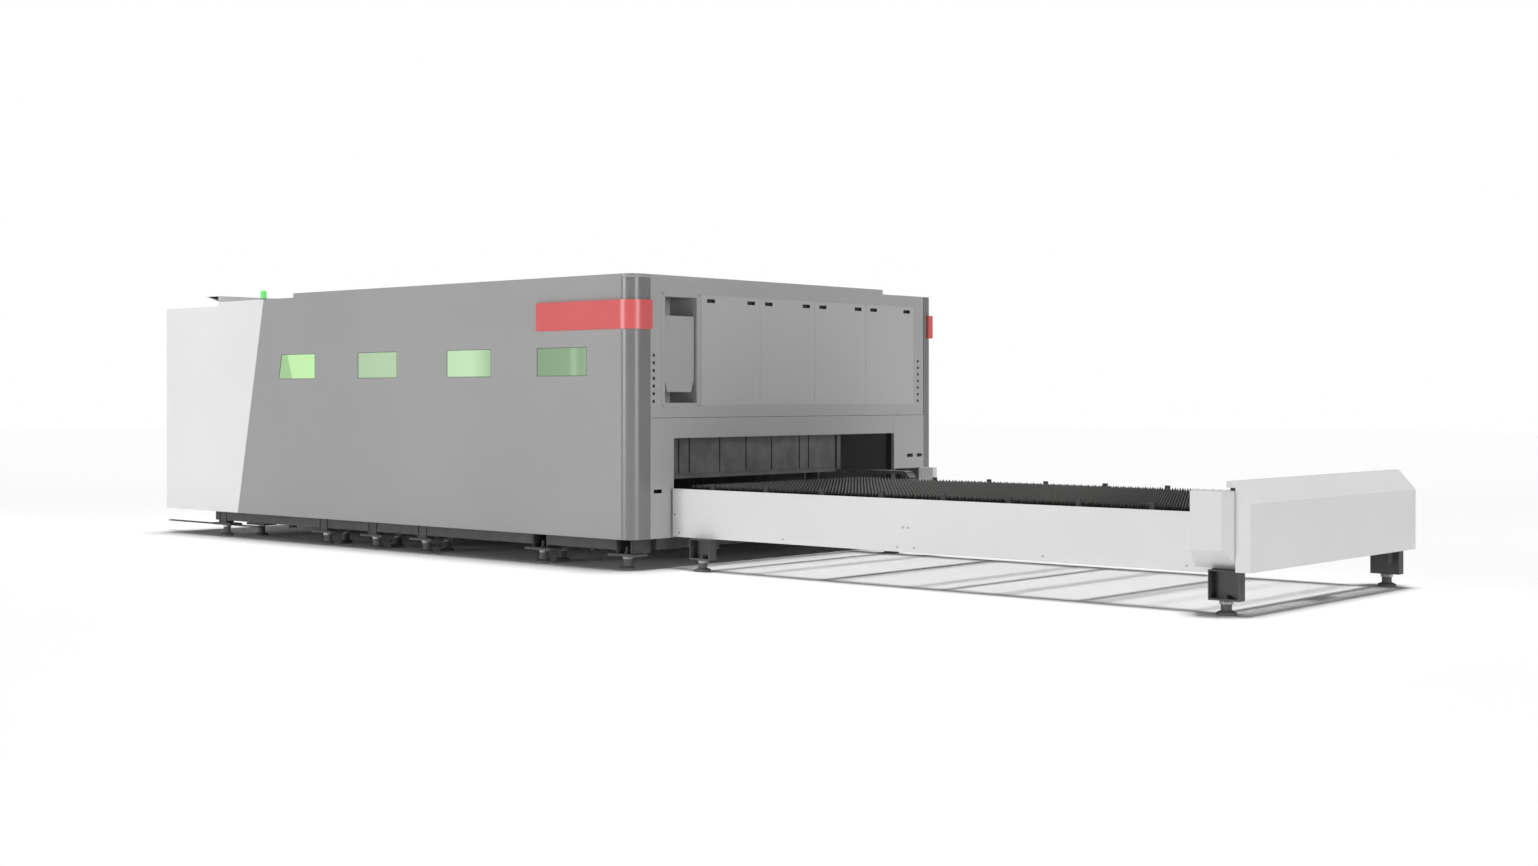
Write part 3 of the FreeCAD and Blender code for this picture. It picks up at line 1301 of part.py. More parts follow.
def build_all():
    low_level = "(upper_track - level_gap)"
    low_start = "(pallet_start - pallet_travel)"
    nodes = [
        near_grey_panel(), near_white_panel(), far_side_panel(), left_end_wall(),
        near_corner_post(), far_corner_post(), end_upper_panel(), end_portal(),
        end_right_column(), niche_liner(), niche_box(),
    ]
    nodes += [access_panel(index) for index in range(4)]
    nodes += [
        window_panes(), near_band_plate(), far_band_plate(), roof_raised(), roof_low(),
        roof_visor(), signal_lamp(), enclosure_frame(), bed_frame(), levelling_feet(),
        gantry_rails(), gantry_racks(), door_guides(), laser_source(), table_frame(),
        skirt("near_skirt", 0), skirt("far_skirt", 1), end_cover(), guard("near_guard", 0),
        guard("far_guard", 1), far_inner_cover(), drive_motor(), drive_chains(), screws(),
        lift_frame(),
        pallet_frame("upper_pallet_frame", "pallet_start", "upper_track", 20),
        slats("upper_slats", number("pallet_start"), 0),
        wheel_axle("upper_axle_inner", "pallet_start + %d" % AXLES[0], "upper_track"),
        wheel_axle("upper_axle_outer", "pallet_start + %d" % AXLES[1], "upper_track"),
        pallet_frame("lower_pallet_frame", low_start, low_level, -34),
        slats("lower_slats", number(low_start), number("level_gap")),
        wheel_axle("lower_axle_inner", "%s + %d" % (low_start, AXLES[0]), low_level),
        wheel_axle("lower_axle_outer", "%s + %d" % (low_start, AXLES[1]), low_level),
        inner_door(), drive_shaft(), service_door(),
        scrap_tray("scrap_tray_left", 5380, 1960), scrap_tray("scrap_tray_right", 3270, 2050),
    ]
    rest = -number("gantry_x")
    pinion_y = number("bed_near") - 5.3
    far_y = 2 * number("centre_y") - pinion_y
    nodes.append(pinion("near_pinion", (rest, pinion_y, 802.5), 20, 0, 400))
    nodes.append(pinion("far_pinion", (rest, far_y, 802.5), 20, 180, 400))
    nodes.append(pinion("carriage_pinion", (rest + number("beam_half") + 55.3,
                                            number("centre_y"), 1052.5), 20, 90, 225))
    rack = solid_feature("carriage_rack", carriage_rack())
    nodes.append(group([gantry_weld(), rack], "gantry_beam"))
    nodes += [y_carriage(), z_slide(), cutting_head()]
    return nodes


def check(nodes):
    for item in doc.Objects:
        if "Invalid" in item.State or "Error" in item.State:
            raise RuntimeError("failed: %s %s" % (item.Name, item.State))
    for node in nodes:
        if node.Label[-1].isdigit() and node.Label[-3:].isdigit():
            raise RuntimeError("label already used: %s" % node.Label)
        if node.Shape.isNull() or not node.Shape.isValid():
            raise RuntimeError("bad shape: %s" % node.Label)


def write(nodes):
    os.makedirs("parts", exist_ok=True)
    for node in nodes:
        node.Shape.exportStep("parts/%s.step" % node.Label)
        size = node.Shape.BoundBox
        print("%-22s solids %3d  volume %.4f m3  x %8.1f %8.1f  y %8.1f %8.1f  z %7.1f %7.1f" % (
            node.Label, len(node.Shape.Solids), node.Shape.Volume / 1e9, size.XMin, size.XMax,
            size.YMin, size.YMax, size.ZMin, size.ZMax))


parts = build_all()
doc.recompute()
check(parts)
write(parts)
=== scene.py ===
import math

import bmesh
import bpy
from bpy.props import FloatProperty, FloatVectorProperty, IntProperty, PointerProperty
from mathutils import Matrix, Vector


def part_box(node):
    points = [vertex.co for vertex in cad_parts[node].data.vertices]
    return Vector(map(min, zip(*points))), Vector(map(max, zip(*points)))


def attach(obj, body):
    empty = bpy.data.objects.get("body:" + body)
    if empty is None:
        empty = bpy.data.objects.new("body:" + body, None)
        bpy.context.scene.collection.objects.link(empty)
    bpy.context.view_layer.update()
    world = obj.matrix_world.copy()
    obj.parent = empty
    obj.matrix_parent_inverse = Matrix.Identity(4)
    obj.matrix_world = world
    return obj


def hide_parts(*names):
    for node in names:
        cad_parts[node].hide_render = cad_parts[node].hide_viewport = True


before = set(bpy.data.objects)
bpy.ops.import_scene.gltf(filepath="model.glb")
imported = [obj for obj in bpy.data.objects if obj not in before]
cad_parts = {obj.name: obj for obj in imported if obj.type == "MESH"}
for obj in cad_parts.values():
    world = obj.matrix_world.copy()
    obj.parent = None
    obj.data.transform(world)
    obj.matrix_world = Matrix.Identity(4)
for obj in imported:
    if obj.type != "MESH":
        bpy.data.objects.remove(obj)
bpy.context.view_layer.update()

bl_info = {
    "name": "Laser cutting machine looks",
    "version": (1, 0, 0),
    "blender": (4, 5, 0),
    "location": "3D View > Sidebar > Laser cutter",
    "description": "Finishes, small fittings and stage for an enclosed laser cutting machine",
    "category": "Object",
}

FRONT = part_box("near_grey_panel")[0].y        # outer face of the near side
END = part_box("end_upper_panel")[1].x          # outer face of the end towards the table


# ---------------------------------------------------------------- settings

def colour(name, description, default):
    return FloatVectorProperty(name=name, description=description, subtype="COLOR", size=3,
                               min=0.0, max=1.0, default=default)


class PaintSettings(bpy.types.PropertyGroup):
    """Colours of the machine's finishes"""
    grey: colour("Cladding grey", "Powder coat of the long side and the end", (0.335, 0.335, 0.34))
    end_grey: colour("End grey", "Powder coat of the end face", (0.37, 0.37, 0.372))
    corner_grey: colour("Corner grey", "Glossier coat of the rounded corner posts",
                        (0.19, 0.19, 0.193))
    white: colour("Cladding white", "Powder coat of the left end and the end cover",
                  (0.80, 0.80, 0.81))
    # darker than the cladding white as painted shade, standing in for the enclosure's shade on the
    # beams
    beam_white_painted_shade: colour("Beam white", "Powder coat of the table's long beams",
                       (0.70, 0.70, 0.71))
    frame_dark: colour("Frame grey", "Structure paint of frames and feet", (0.046, 0.046, 0.047))
    inside: colour("Inner grey", "Paint of the bed and the inner door", (0.13, 0.13, 0.135))
    carrier: colour("Carrier grey", "Moulded links of the cable carrier", (0.15, 0.15, 0.152))
    guard_white: colour("Guard white", "Powder coat of the guards at the beams' ends",
                        (0.66, 0.66, 0.67))
    visor_grey: colour("Visor grey", "Light coat of the roof visor", (0.70, 0.70, 0.705))
    red: colour("Plate red", "Colour of the two corner plates", (0.66, 0.11, 0.11))
    # slat tone: dark hot rolled steel, darkened further as painted shade between the slats
    slat: colour("Slat steel", "Hot rolled steel of the cutting slats", (0.040, 0.040, 0.041))
    # painted highlight on the slat tips
    slat_tip_highlight: colour("Slat tips", "Tips that the beam has cut bright", (0.30, 0.295, 0.285))
    steel: colour("Ground steel", "Rails, racks, shafts and pinions", (0.42, 0.42, 0.42))
    brass: colour("Nozzle brass", "Lower end of the cutting head", (0.60, 0.42, 0.16))
    lamp: colour("Lamp green", "Lens of the signal lamp", (0.09, 0.46, 0.09))
    # painted light: strength of the panes' glow, which stands in for the lit room behind them; no
    # lamp
    glow: FloatProperty(name="Pane glow", description="How bright the lit panes look",
                        default=0.57, min=0.0, max=4.0)


class FittingSettings(bpy.types.PropertyGroup):
    """Sizes of the small fittings"""
    seal_wide: FloatProperty(name="Seal width", description="Width of the rubber round a pane",
                             default=0.0035, min=0.003, max=0.02, unit="LENGTH", subtype="DISTANCE")
    screw: FloatProperty(name="Screw head", description="Radius of a cladding screw's head",
                         default=0.008, min=0.004, max=0.02, unit="LENGTH", subtype="DISTANCE")
    nut: FloatProperty(name="Foot nut", description="Corner radius of a levelling nut",
                       default=0.043, min=0.036, max=0.05, unit="LENGTH", subtype="DISTANCE")
    link: FloatProperty(name="Carrier link", description="Pitch of the cable carrier's links",
                        default=0.046, min=0.03, max=0.08, unit="LENGTH", subtype="DISTANCE")
    weld_pitch: FloatProperty(name="Weld ripple", description="Step between ripples of a weld",
                              default=0.007, min=0.004, max=0.02, unit="LENGTH",
                              subtype="DISTANCE")
    bars: IntProperty(name="Light bars", description="Light bars along each inner side",
                      default=4, min=1, max=8)


class StageSettings(bpy.types.PropertyGroup):
    """Floor, light and camera"""
    floor: colour("Floor", "Colour of the studio floor", (0.95, 0.95, 0.95))
    sky: FloatProperty(name="Sky light", description="Strength of the even light all round",
                       default=0.12, min=0.0, max=10.0)
    top: FloatProperty(name="Top light", description="Strength of the light from overhead",
                       default=2.85, min=0.0, max=20.0)
    side: FloatProperty(name="Side light",
                        description="Strength of the level light on the long side",
                        default=1.62, min=0.0, max=20.0)
    end: FloatProperty(name="End light", description="Strength of the level light on the end",
                       default=1.40, min=0.0, max=20.0)
    eye: FloatVectorProperty(name="Camera place", description="Where the camera stands",
                             subtype="TRANSLATION", unit="LENGTH", size=3,
                             default=(11.3575, -12.206, 1.348))
    turn: FloatProperty(name="Camera heading", description="Turn of the level camera about Z",
                        subtype="ANGLE", default=math.radians(41.28))
    lens: FloatProperty(name="Lens", description="Focal length on a 36 mm sensor",
                        default=44.54, min=10.0, max=200.0, unit="CAMERA")


# ---------------------------------------------------------------- finishes

class Finish:
    """A material with its shader and short ways to add the nodes that every finish needs."""

    def __init__(self, name, roughness=0.5, metallic=0.0):
        self.material = bpy.data.materials.new(name)
        self.material.use_nodes = True
        self.tree = self.material.node_tree
        self.shader = self.tree.nodes["Principled BSDF"]
        self.shader.inputs["Roughness"].default_value = roughness
        self.shader.inputs["Metallic"].default_value = metallic
        self.place = self.add("ShaderNodeTexCoord").outputs["Object"]

    def add(self, kind, **values):
        node = self.tree.nodes.new(kind)
        for name, value in values.items():
            setattr(node, name, value)
        return node

    def link(self, start, end):
        self.tree.links.new(start, end)

    def stretched(self, scale):
        """Object coordinates drawn out along one or more axes."""
        node = self.add("ShaderNodeMapping")
        node.inputs["Scale"].default_value = scale
        self.link(self.place, node.inputs["Vector"])
        return node.outputs["Vector"]

    def noise(self, scale, detail=3.0, place=None):
        node = self.add("ShaderNodeTexNoise")
        node.inputs["Scale"].default_value = scale
        node.inputs["Detail"].default_value = detail
        self.link(place or self.place, node.inputs["Vector"])
        return node.outputs["Fac"]

    def ramp(self, factor, stops, interpolation="LINEAR"):
        node = self.add("ShaderNodeValToRGB")
        node.color_ramp.interpolation = interpolation
        points = node.color_ramp.elements
        for index, (place, tone) in enumerate(stops):
            point = points[index] if index < 2 else points.new(place)
            point.position = place
            point.color = (*tone, 1.0)
        self.link(factor, node.inputs["Fac"])
        return node.outputs["Color"]

    def spread(self, factor, low, high, start=0.0, end=1.0):
        """A factor carried from one range into another and held at its ends."""
        node = self.add("ShaderNodeMapRange")
        for socket, value in zip(("From Min", "From Max", "To Min", "To Max"),
                                 (start, end, low, high)):
            node.inputs[socket].default_value = value
        self.link(factor, node.inputs["Value"])
        return node.outputs["Result"]

    def along(self, axis):
        node = self.add("ShaderNodeSeparateXYZ")
        self.link(self.place, node.inputs["Vector"])
        return node.outputs[axis]

    def mix(self, factor, first, second):
        node = self.add("ShaderNodeMix", data_type="RGBA")
        self.link(factor, node.inputs["Factor"])
        for socket, value in ((node.inputs[6], first), (node.inputs[7], second)):
            if isinstance(value, bpy.types.NodeSocket):
                self.link(value, socket)
            else:
                socket.default_value = (*value, 1.0)
        return node.outputs[2]

    def tint(self, source):
        self.link(source, self.shader.inputs["Base Color"])

    def gloss(self, source):
        self.link(source, self.shader.inputs["Roughness"])

    def relief(self, height, strength, distance):
        node = self.add("ShaderNodeBump")
        node.inputs["Strength"].default_value = strength
        node.inputs["Distance"].default_value = distance
        self.link(height, node.inputs["Height"])
        self.link(node.outputs["Normal"], self.shader.inputs["Normal"])


def shaded(tone, amount):
    return tuple(max(0.0, min(1.0, part * amount)) for part in tone)


def powder_coat(name, tone, grain=420.0, roughness=0.46):
    """Baked powder coat: fine orange peel, faint cloudiness and a slightly uneven gloss."""
    finish = Finish(name, roughness)
    cloud = finish.noise(0.9, 2.0)
    finish.tint(finish.ramp(cloud, [(0.30, shaded(tone, 0.975)), (0.70, shaded(tone, 1.025))]))
    finish.gloss(finish.spread(finish.noise(14.0), roughness - 0.04, roughness + 0.05))
    finish.relief(finish.noise(grain, 1.0), 0.10, 0.0006)
    finish.shader.inputs["Specular IOR Level"].default_value = 0.42
    return finish.material


def structure_paint(name, tone, dusty=0.30):
    """Matt structure paint with a coarse grain, rubbed lighter in patches and dusty low down."""
    finish = Finish(name, 0.62)
    patches = finish.ramp(finish.noise(6.0, 5.0), [(0.35, shaded(tone, 0.82)),
                                                    (0.68, shaded(tone, 1.22))])
    dust = finish.spread(finish.along("Z"), dusty, 0.0, 0.0, 0.22)
    finish.tint(finish.mix(dust, patches, shaded((0.30, 0.29, 0.28), 0.9)))
    finish.gloss(finish.spread(finish.noise(22.0), 0.52, 0.72))
    finish.relief(finish.noise(260.0, 2.0), 0.22, 0.0008)
    return finish.material


def hot_rolled(name, tone, tip_highlight_tone, tip):
    """Slat steel: mill scale, straw and blue burn marks, spatter, a very dark body that also stands
    in for painted shade between the slats, and tips painted lighter as a highlight.
    """
    finish = Finish(name, 0.5, 0.65)
    scale = finish.ramp(finish.noise(9.0, 6.0, finish.stretched((1.0, 1.0, 3.0))),
                        [(0.30, shaded(tone, 0.70)), (0.55, tone),
                         (0.75, shaded((tone[0], tone[1] * 0.88, tone[2] * 0.72), 1.25))])
    # painted highlight: the top 26 mm of a slat grow lighter towards its tip
    bright = finish.spread(finish.along("Z"), 0.0, 0.85, tip - 0.026, tip)
    finish.tint(finish.mix(bright, scale, tip_highlight_tone))
    finish.gloss(finish.spread(finish.noise(30.0, 4.0), 0.38, 0.68))
    finish.relief(finish.noise(150.0, 4.0), 0.35, 0.0010)
    return finish.material


def ground_steel(name, tone, lay=(1.0, 30.0, 30.0)):
    """Ground or drawn steel with its fine lines along the piece and a film of oil."""
    finish = Finish(name, 0.33, 1.0)
    lines = finish.noise(60.0, 2.0, finish.stretched(lay))
    finish.tint(finish.ramp(lines, [(0.25, shaded(tone, 0.82)), (0.75, shaded(tone, 1.15))]))
    finish.gloss(finish.spread(lines, 0.26, 0.44))
    finish.relief(lines, 0.12, 0.0003)
    return finish.material


def red_plate(name, tone):
    """Glossy pigmented acrylic plate."""
    finish = Finish(name, 0.36)
    finish.tint(finish.ramp(finish.noise(2.2, 2.0), [(0.3, shaded(tone, 0.97)),
                                                      (0.7, shaded(tone, 1.03))]))
    finish.relief(finish.noise(26.0, 1.0), 0.03, 0.0008)
    finish.shader.inputs["Coat Weight"].default_value = 0.12
    finish.shader.inputs["Coat Roughness"].default_value = 0.22
    return finish.material


PAINTED_PANE_GLOW_TONES = (                                 # place along X and painted glow tone of the lit room behind, left pane first
    (-3.76, (0.60, 0.96, 0.46)), (-3.17, (0.64, 1.00, 0.50)),
    (-2.55, (0.49, 0.66, 0.43)), (-1.97, (0.54, 0.71, 0.47)),
    (-1.32, (0.60, 0.86, 0.54)), (-0.98, (0.62, 0.88, 0.56)), (-0.78, (0.45, 0.66, 0.40)),
    (-0.18, (0.26, 0.40, 0.24)), (0.20, (0.29, 0.43, 0.27)), (0.26, (0.40, 0.57, 0.37)),
    (0.33, (0.29, 0.43, 0.27)), (0.43, (0.33, 0.48, 0.31)))


def laser_pane(name, glow):
    """Green laser safety sheet that glows with painted light, as if the room behind were lit:
    painted tones along X, a painted dimmer stretch on the left pane and painted highlight streaks.
    """
    finish = Finish(name, 0.12)
    lean = finish.add("ShaderNodeMapping")
    lean.inputs["Rotation"].default_value = (0.0, math.radians(-9.0), 0.0)
    finish.link(finish.place, lean.inputs["Vector"])
    start, end = PAINTED_PANE_GLOW_TONES[0][0], PAINTED_PANE_GLOW_TONES[-1][0]
    along = finish.spread(finish.along("X"), 0.0, 1.0, start, end)
    stops = [((place - start) / (end - start), tone) for place, tone in PAINTED_PANE_GLOW_TONES]
    low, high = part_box("window_panes")
    painted_dim_wide, blur = 0.193, 0.006             # painted dimmer glow on the left pane's left part, width at mid height
    slope = math.radians(19.1)
    slant = finish.add("ShaderNodeMapping")
    slant.inputs["Rotation"].default_value = (0.0, slope, 0.0)
    finish.link(finish.place, slant.inputs["Vector"])
    split = finish.add("ShaderNodeSeparateXYZ")
    finish.link(slant.outputs["Vector"], split.inputs["Vector"])
    middle = (low.z + high.z) / 2
    edge = (low.x + painted_dim_wide) * math.cos(slope) + middle * math.sin(slope)
    clear = finish.spread(split.outputs["X"], 0.0, 1.0, edge - blur, edge + blur)
    # painted highlight: faint leaning streaks that lighten the glow
    painted_streaks = finish.spread(finish.noise(3.0, 2.0, lean.outputs["Vector"]), 0.0, 0.10)
    painted_room_glow = finish.mix(painted_streaks, finish.ramp(along, stops), (0.70, 0.92, 0.66))
    # base colour: darker copies of the painted glow tones
    finish.tint(finish.ramp(along, [(place, shaded(tone, 0.36)) for place, tone in stops]))
    # emission: painted dim glow left of the slanted edge, painted room glow to its right
    finish.link(finish.mix(clear, (0.32, 0.52, 0.29), painted_room_glow),
                finish.shader.inputs["Emission Color"])
    finish.shader.inputs["Emission Strength"].default_value = glow
    finish.shader.inputs["Coat Weight"].default_value = 0.15
    finish.relief(finish.noise(18.0, 1.0), 0.02, 0.001)
    return finish.material


def lamp_lens(name, tone, foot):
    """Signal lamp: ribbed green lens that glows, on a dark foot."""
    finish = Finish(name, 0.25)
    foot_high = 0.016
    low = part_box("signal_lamp")[0].z + foot_high
    body = finish.spread(finish.along("Z"), 0.0, 1.0, low - 0.001, low + 0.001)
    finish.tint(finish.mix(body, foot, tone))
    ribs = finish.add("ShaderNodeTexWave", wave_type="BANDS", bands_direction="Z")
    ribs.inputs["Scale"].default_value = 60.0
    finish.link(finish.place, ribs.inputs["Vector"])
    finish.relief(ribs.outputs["Fac"], 0.25, 0.001)
    finish.link(finish.mix(body, (0.0, 0.0, 0.0), tone), finish.shader.inputs["Emission Color"])
    finish.shader.inputs["Emission Strength"].default_value = 0.8
    return finish.material


def brass_tip(name, brass, steel):
    """Cutting head: satin barrel with a brass nozzle at its lower end."""
    finish = Finish(name, 0.30, 0.9)
    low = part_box("cutting_head")[0].z
    up = finish.spread(finish.along("Z"), 0.0, 1.0, low + 0.030, low + 0.032)
    lines = finish.noise(80.0, 2.0, finish.stretched((1.0, 1.0, 14.0)))
    barrel = finish.ramp(lines, [(0.3, shaded(steel, 0.85)), (0.7, shaded(steel, 1.1))])
    finish.tint(finish.mix(up, brass, barrel))
    finish.gloss(finish.spread(lines, 0.24, 0.40))
    finish.relief(lines, 0.10, 0.0003)
    return finish.material


def light_diffuser(name):
    """Opal cover of a light bar, slightly warmer in patches."""
    finish = Finish(name, 0.4)
    tone = finish.ramp(finish.noise(5.0, 1.0), [(0.3, (0.90, 0.94, 0.95)),
                                                 (0.7, (0.97, 0.97, 0.94))])
    finish.tint(tone)
    finish.link(tone, finish.shader.inputs["Emission Color"])
    finish.shader.inputs["Emission Strength"].default_value = 1.6
    finish.relief(finish.noise(300.0, 1.0), 0.05, 0.0004)
    return finish.material


def studio_floor(name, tone):
    finish = Finish(name, 0.7)
    finish.tint(finish.ramp(finish.noise(0.4, 2.0), [(0.3, shaded(tone, 0.99)), (0.7, tone)]))
    finish.shader.inputs["Specular IOR Level"].default_value = 0.1
    return finish.material


NODE_FINISHES = {
    "side grey": ("near_grey_panel", "far_side_panel", "roof_raised", "roof_low"),
    "visor grey": ("roof_visor",),
    "corner grey": ("near_corner_post", "far_corner_post"),
    "end grey": ("end_upper_panel", "end_portal", "end_right_column", "niche_liner", "niche_box"),
    "access grey": ("access_panel_1", "access_panel_2", "access_panel_3", "access_panel_4"),
    "white coat": ("near_white_panel", "left_end_wall", "service_door", "laser_source",
                   "far_inner_cover", "gantry_beam"),
    "guard white": ("near_guard", "far_guard", "end_cover"),
    "beam white": ("near_skirt", "far_skirt"),
    "frame paint": ("enclosure_frame", "levelling_feet", "table_frame", "drive_motor",
                    "upper_pallet_frame", "lower_pallet_frame"),
    "inner paint": ("bed_frame", "door_guides", "lift_frame", "inner_door", "scrap_tray_left",
                    "scrap_tray_right", "y_carriage", "z_slide"),
    "red plate": ("near_band_plate", "far_band_plate"),
    "laser pane": ("window_panes",),
    "signal lens": ("signal_lamp",),
    "long steel": ("gantry_rails", "gantry_racks", "drive_chains"),
    "cross steel": ("upper_axle_inner", "upper_axle_outer", "lower_axle_inner",
                    "lower_axle_outer", "drive_shaft"),
    "gear steel": ("near_pinion", "far_pinion", "carriage_pinion", "screws"),
    "upper slat steel": ("upper_slats",),
    "lower slat steel": ("lower_slats",),
    "head brass": ("cutting_head",),
}


# ---------------------------------------------------------------- modelling helpers

def deselect():
    if bpy.context.object and bpy.context.object.mode != "OBJECT":
        bpy.ops.object.mode_set(mode="OBJECT")
    bpy.ops.object.select_all(action="DESELECT")


def select_only(items):
    deselect()
    for item in items:
        item.select_set(True)
    bpy.context.view_layer.objects.active = items[0]


def fresh(name):
    """The primitive that was just added, named."""
    item = bpy.context.object
    item.name = name
    item.data.name = name
    return item


def pick_faces(item, test):
    """Selects, in edit mode, the faces whose centre and normal pass the test."""
    bpy.ops.object.mode_set(mode="EDIT")
    bpy.ops.mesh.select_mode(type="FACE")
    bpy.ops.mesh.select_all(action="DESELECT")
    shape = bmesh.from_edit_mesh(item.data)
    for face in shape.faces:
        face.select = test(face.calc_center_median(), face.normal)
    shape.select_flush_mode()
    bmesh.update_edit_mesh(item.data)


def bevel_piece(item, width, segments=2, angle=40.0):
    select_only([item])
    soft = item.modifiers.new("Soft edges", "BEVEL")
    soft.width = width
    soft.segments = segments
    soft.limit_method = "ANGLE"
    soft.angle_limit = math.radians(angle)
    bpy.ops.object.modifier_apply(modifier=soft.name)


def copies(master, name, spots, turns=None):
    """The master, made at the origin, copied to every spot and joined into one piece."""
    made = []
    for index, spot in enumerate(spots):
        select_only([master])
        bpy.ops.object.duplicate(linked=False)
        item = bpy.context.object
        item.location = spot
        if turns:
            item.rotation_euler = turns[index]
        made.append(item)
    bpy.data.objects.remove(master)
    select_only(made)
    if len(made) > 1:
        bpy.ops.object.join()
    return fresh(name)


def settle(item, finish, smooth=30.0):
    """Normals out, origin at the frame's, smooth rounds, finish, slot and ride."""
    select_only([item])
    bpy.ops.object.transform_apply(location=True, rotation=True, scale=True)
    bpy.context.scene.cursor.location = (0.0, 0.0, 0.0)
    bpy.ops.object.origin_set(type="ORIGIN_CURSOR")
    bpy.ops.object.mode_set(mode="EDIT")
    bpy.ops.mesh.select_all(action="SELECT")
    bpy.ops.mesh.remove_doubles(threshold=0.00001)
    bpy.ops.mesh.normals_make_consistent(inside=False)
    bpy.ops.object.mode_set(mode="OBJECT")
    bpy.ops.object.shade_smooth_by_angle(angle=math.radians(smooth))
    item.data.materials.clear()
    item.data.materials.append(bpy.data.materials[finish])
    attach(item, "machine")
    deselect()
    return item


def islands(node):
    """Boxes of the separate solids of a CAD node, as (low, high) corners."""
    shape = bmesh.new()
    shape.from_mesh(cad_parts[node].data)
    bmesh.ops.remove_doubles(shape, verts=shape.verts, dist=0.00005)
    left = set(shape.verts)
    found = []
    while left:
        queue = [left.pop()]
        members = []
        while queue:
            vertex = queue.pop()
            members.append(vertex.co.copy())
            for edge in vertex.link_edges:
                other = edge.other_vert(vertex)
                if other in left:
                    left.remove(other)
                    queue.append(other)
        low = Vector([min(point[axis] for point in members) for axis in range(3)])
        high = Vector([max(point[axis] for point in members) for axis in range(3)])
        found.append((low, high))
    shape.free()
    return sorted(found, key=lambda pair: tuple(round(part, 4) for part in pair[0]))


# ---------------------------------------------------------------- pieces

class LASERCUTTER_OT_finish_nodes(bpy.types.Operator):
    """Give every machined, folded and welded piece its own paint or metal"""
    bl_idname = "lasercutter.finish_nodes"
    bl_label = "Finish machine pieces"

    def execute(self, context):
        paint = context.scene.laser_paint
        grey = tuple(paint.grey)
        steel = tuple(paint.steel)
        made = {
            "side grey": powder_coat("side grey", grey),
            "end grey": powder_coat("end grey", tuple(paint.end_grey)),
            "access grey": powder_coat("access grey", shaded(tuple(paint.end_grey), 1.16)),
            "white coat": powder_coat("white coat", tuple(paint.white), roughness=0.42),
            "frame paint": structure_paint("frame paint", tuple(paint.frame_dark)),
            "inner paint": structure_paint("inner paint", tuple(paint.inside), 0.15),
            "red plate": red_plate("red plate", tuple(paint.red)),
            "laser pane": laser_pane("laser pane", paint.glow),
            "signal lens": lamp_lens("signal lens", tuple(paint.lamp), (0.05, 0.05, 0.05)),
            "long steel": ground_steel("long steel", steel),
            "cross steel": ground_steel("cross steel", steel, (30.0, 1.0, 30.0)),
            "gear steel": ground_steel("gear steel", shaded(steel, 0.9), (8.0, 8.0, 1.0)),
            "upper slat steel": hot_rolled("upper slat steel", tuple(paint.slat),
                                           tuple(paint.slat_tip_highlight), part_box("upper_slats")[1].z),
            "lower slat steel": hot_rolled("lower slat steel", tuple(paint.slat),
                                           tuple(paint.slat_tip_highlight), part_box("lower_slats")[1].z),
            "corner grey": powder_coat("corner grey", tuple(paint.corner_grey), 420.0, 0.30),
            # painted shade: a darker copy of the cladding white for the table's beams
            "beam white": powder_coat("beam white", tuple(paint.beam_white_painted_shade), roughness=0.42),
            "guard white": powder_coat("guard white", tuple(paint.guard_white), roughness=0.42),
            "visor grey": powder_coat("visor grey", tuple(paint.visor_grey)),
            "head brass": brass_tip("head brass", tuple(paint.brass), steel),
        }
        structure_paint("black rubber", (0.022, 0.022, 0.022), 0.0)
        structure_paint("carrier plastic", tuple(paint.carrier), 0.0)
        light_diffuser("opal diffuser")
        for name, nodes in NODE_FINISHES.items():
            for node in nodes:
                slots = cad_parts[node].data.materials
                slots.clear()
                slots.append(made[name])
        missed = set(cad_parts) - {n for nodes in NODE_FINISHES.values() for n in nodes}
        if missed:
            raise RuntimeError("no finish for %s" % sorted(missed))
        return {"FINISHED"}


class LASERCUTTER_OT_pane_seals(bpy.types.Operator):
    """Fit a rubber seal round each of the four panes"""
    bl_idname = "lasercutter.pane_seals"
    bl_label = "Fit pane seals"

    def execute(self, context):
        wide = context.scene.laser_fittings.seal_wide
        rims = []
        for index, (low, high) in enumerate(islands("window_panes")):
            inset = 0.020                      # pane hidden behind the sheet's edge
            centre = ((low.x + high.x) / 2, FRONT + 0.0015, (low.z + high.z) / 2)
            deselect()
            bpy.ops.mesh.primitive_plane_add(size=1.0, location=centre,
                                             rotation=(math.radians(90.0), 0.0, 0.0))
            rim = fresh("seal_%d" % index)
            rim.scale = (high.x - low.x - 2 * inset, high.z - low.z - 2 * inset, 1.0)
            bpy.ops.object.transform_apply(location=True, rotation=True, scale=True)
            if index == 0:
                lean_corner(rim, low.x + inset, high.z - inset)
            bpy.ops.object.mode_set(mode="EDIT")
            bpy.ops.mesh.select_all(action="SELECT")
            bpy.ops.mesh.inset(thickness=wide, depth=0.0)
            bpy.ops.mesh.delete(type="FACE")
            bpy.ops.mesh.select_all(action="SELECT")
            bpy.ops.object.mode_set(mode="OBJECT")
            thick = rim.modifiers.new("Lip", "SOLIDIFY")
            thick.thickness = 0.0042
            thick.offset = 0.0
            bpy.ops.object.modifier_apply(modifier=thick.name)
            bevel_piece(rim, 0.0012)
            rims.append(rim)
        select_only(rims)
        bpy.ops.object.join()
        settle(fresh("pane_seals"), "black rubber")
        return {"FINISHED"}


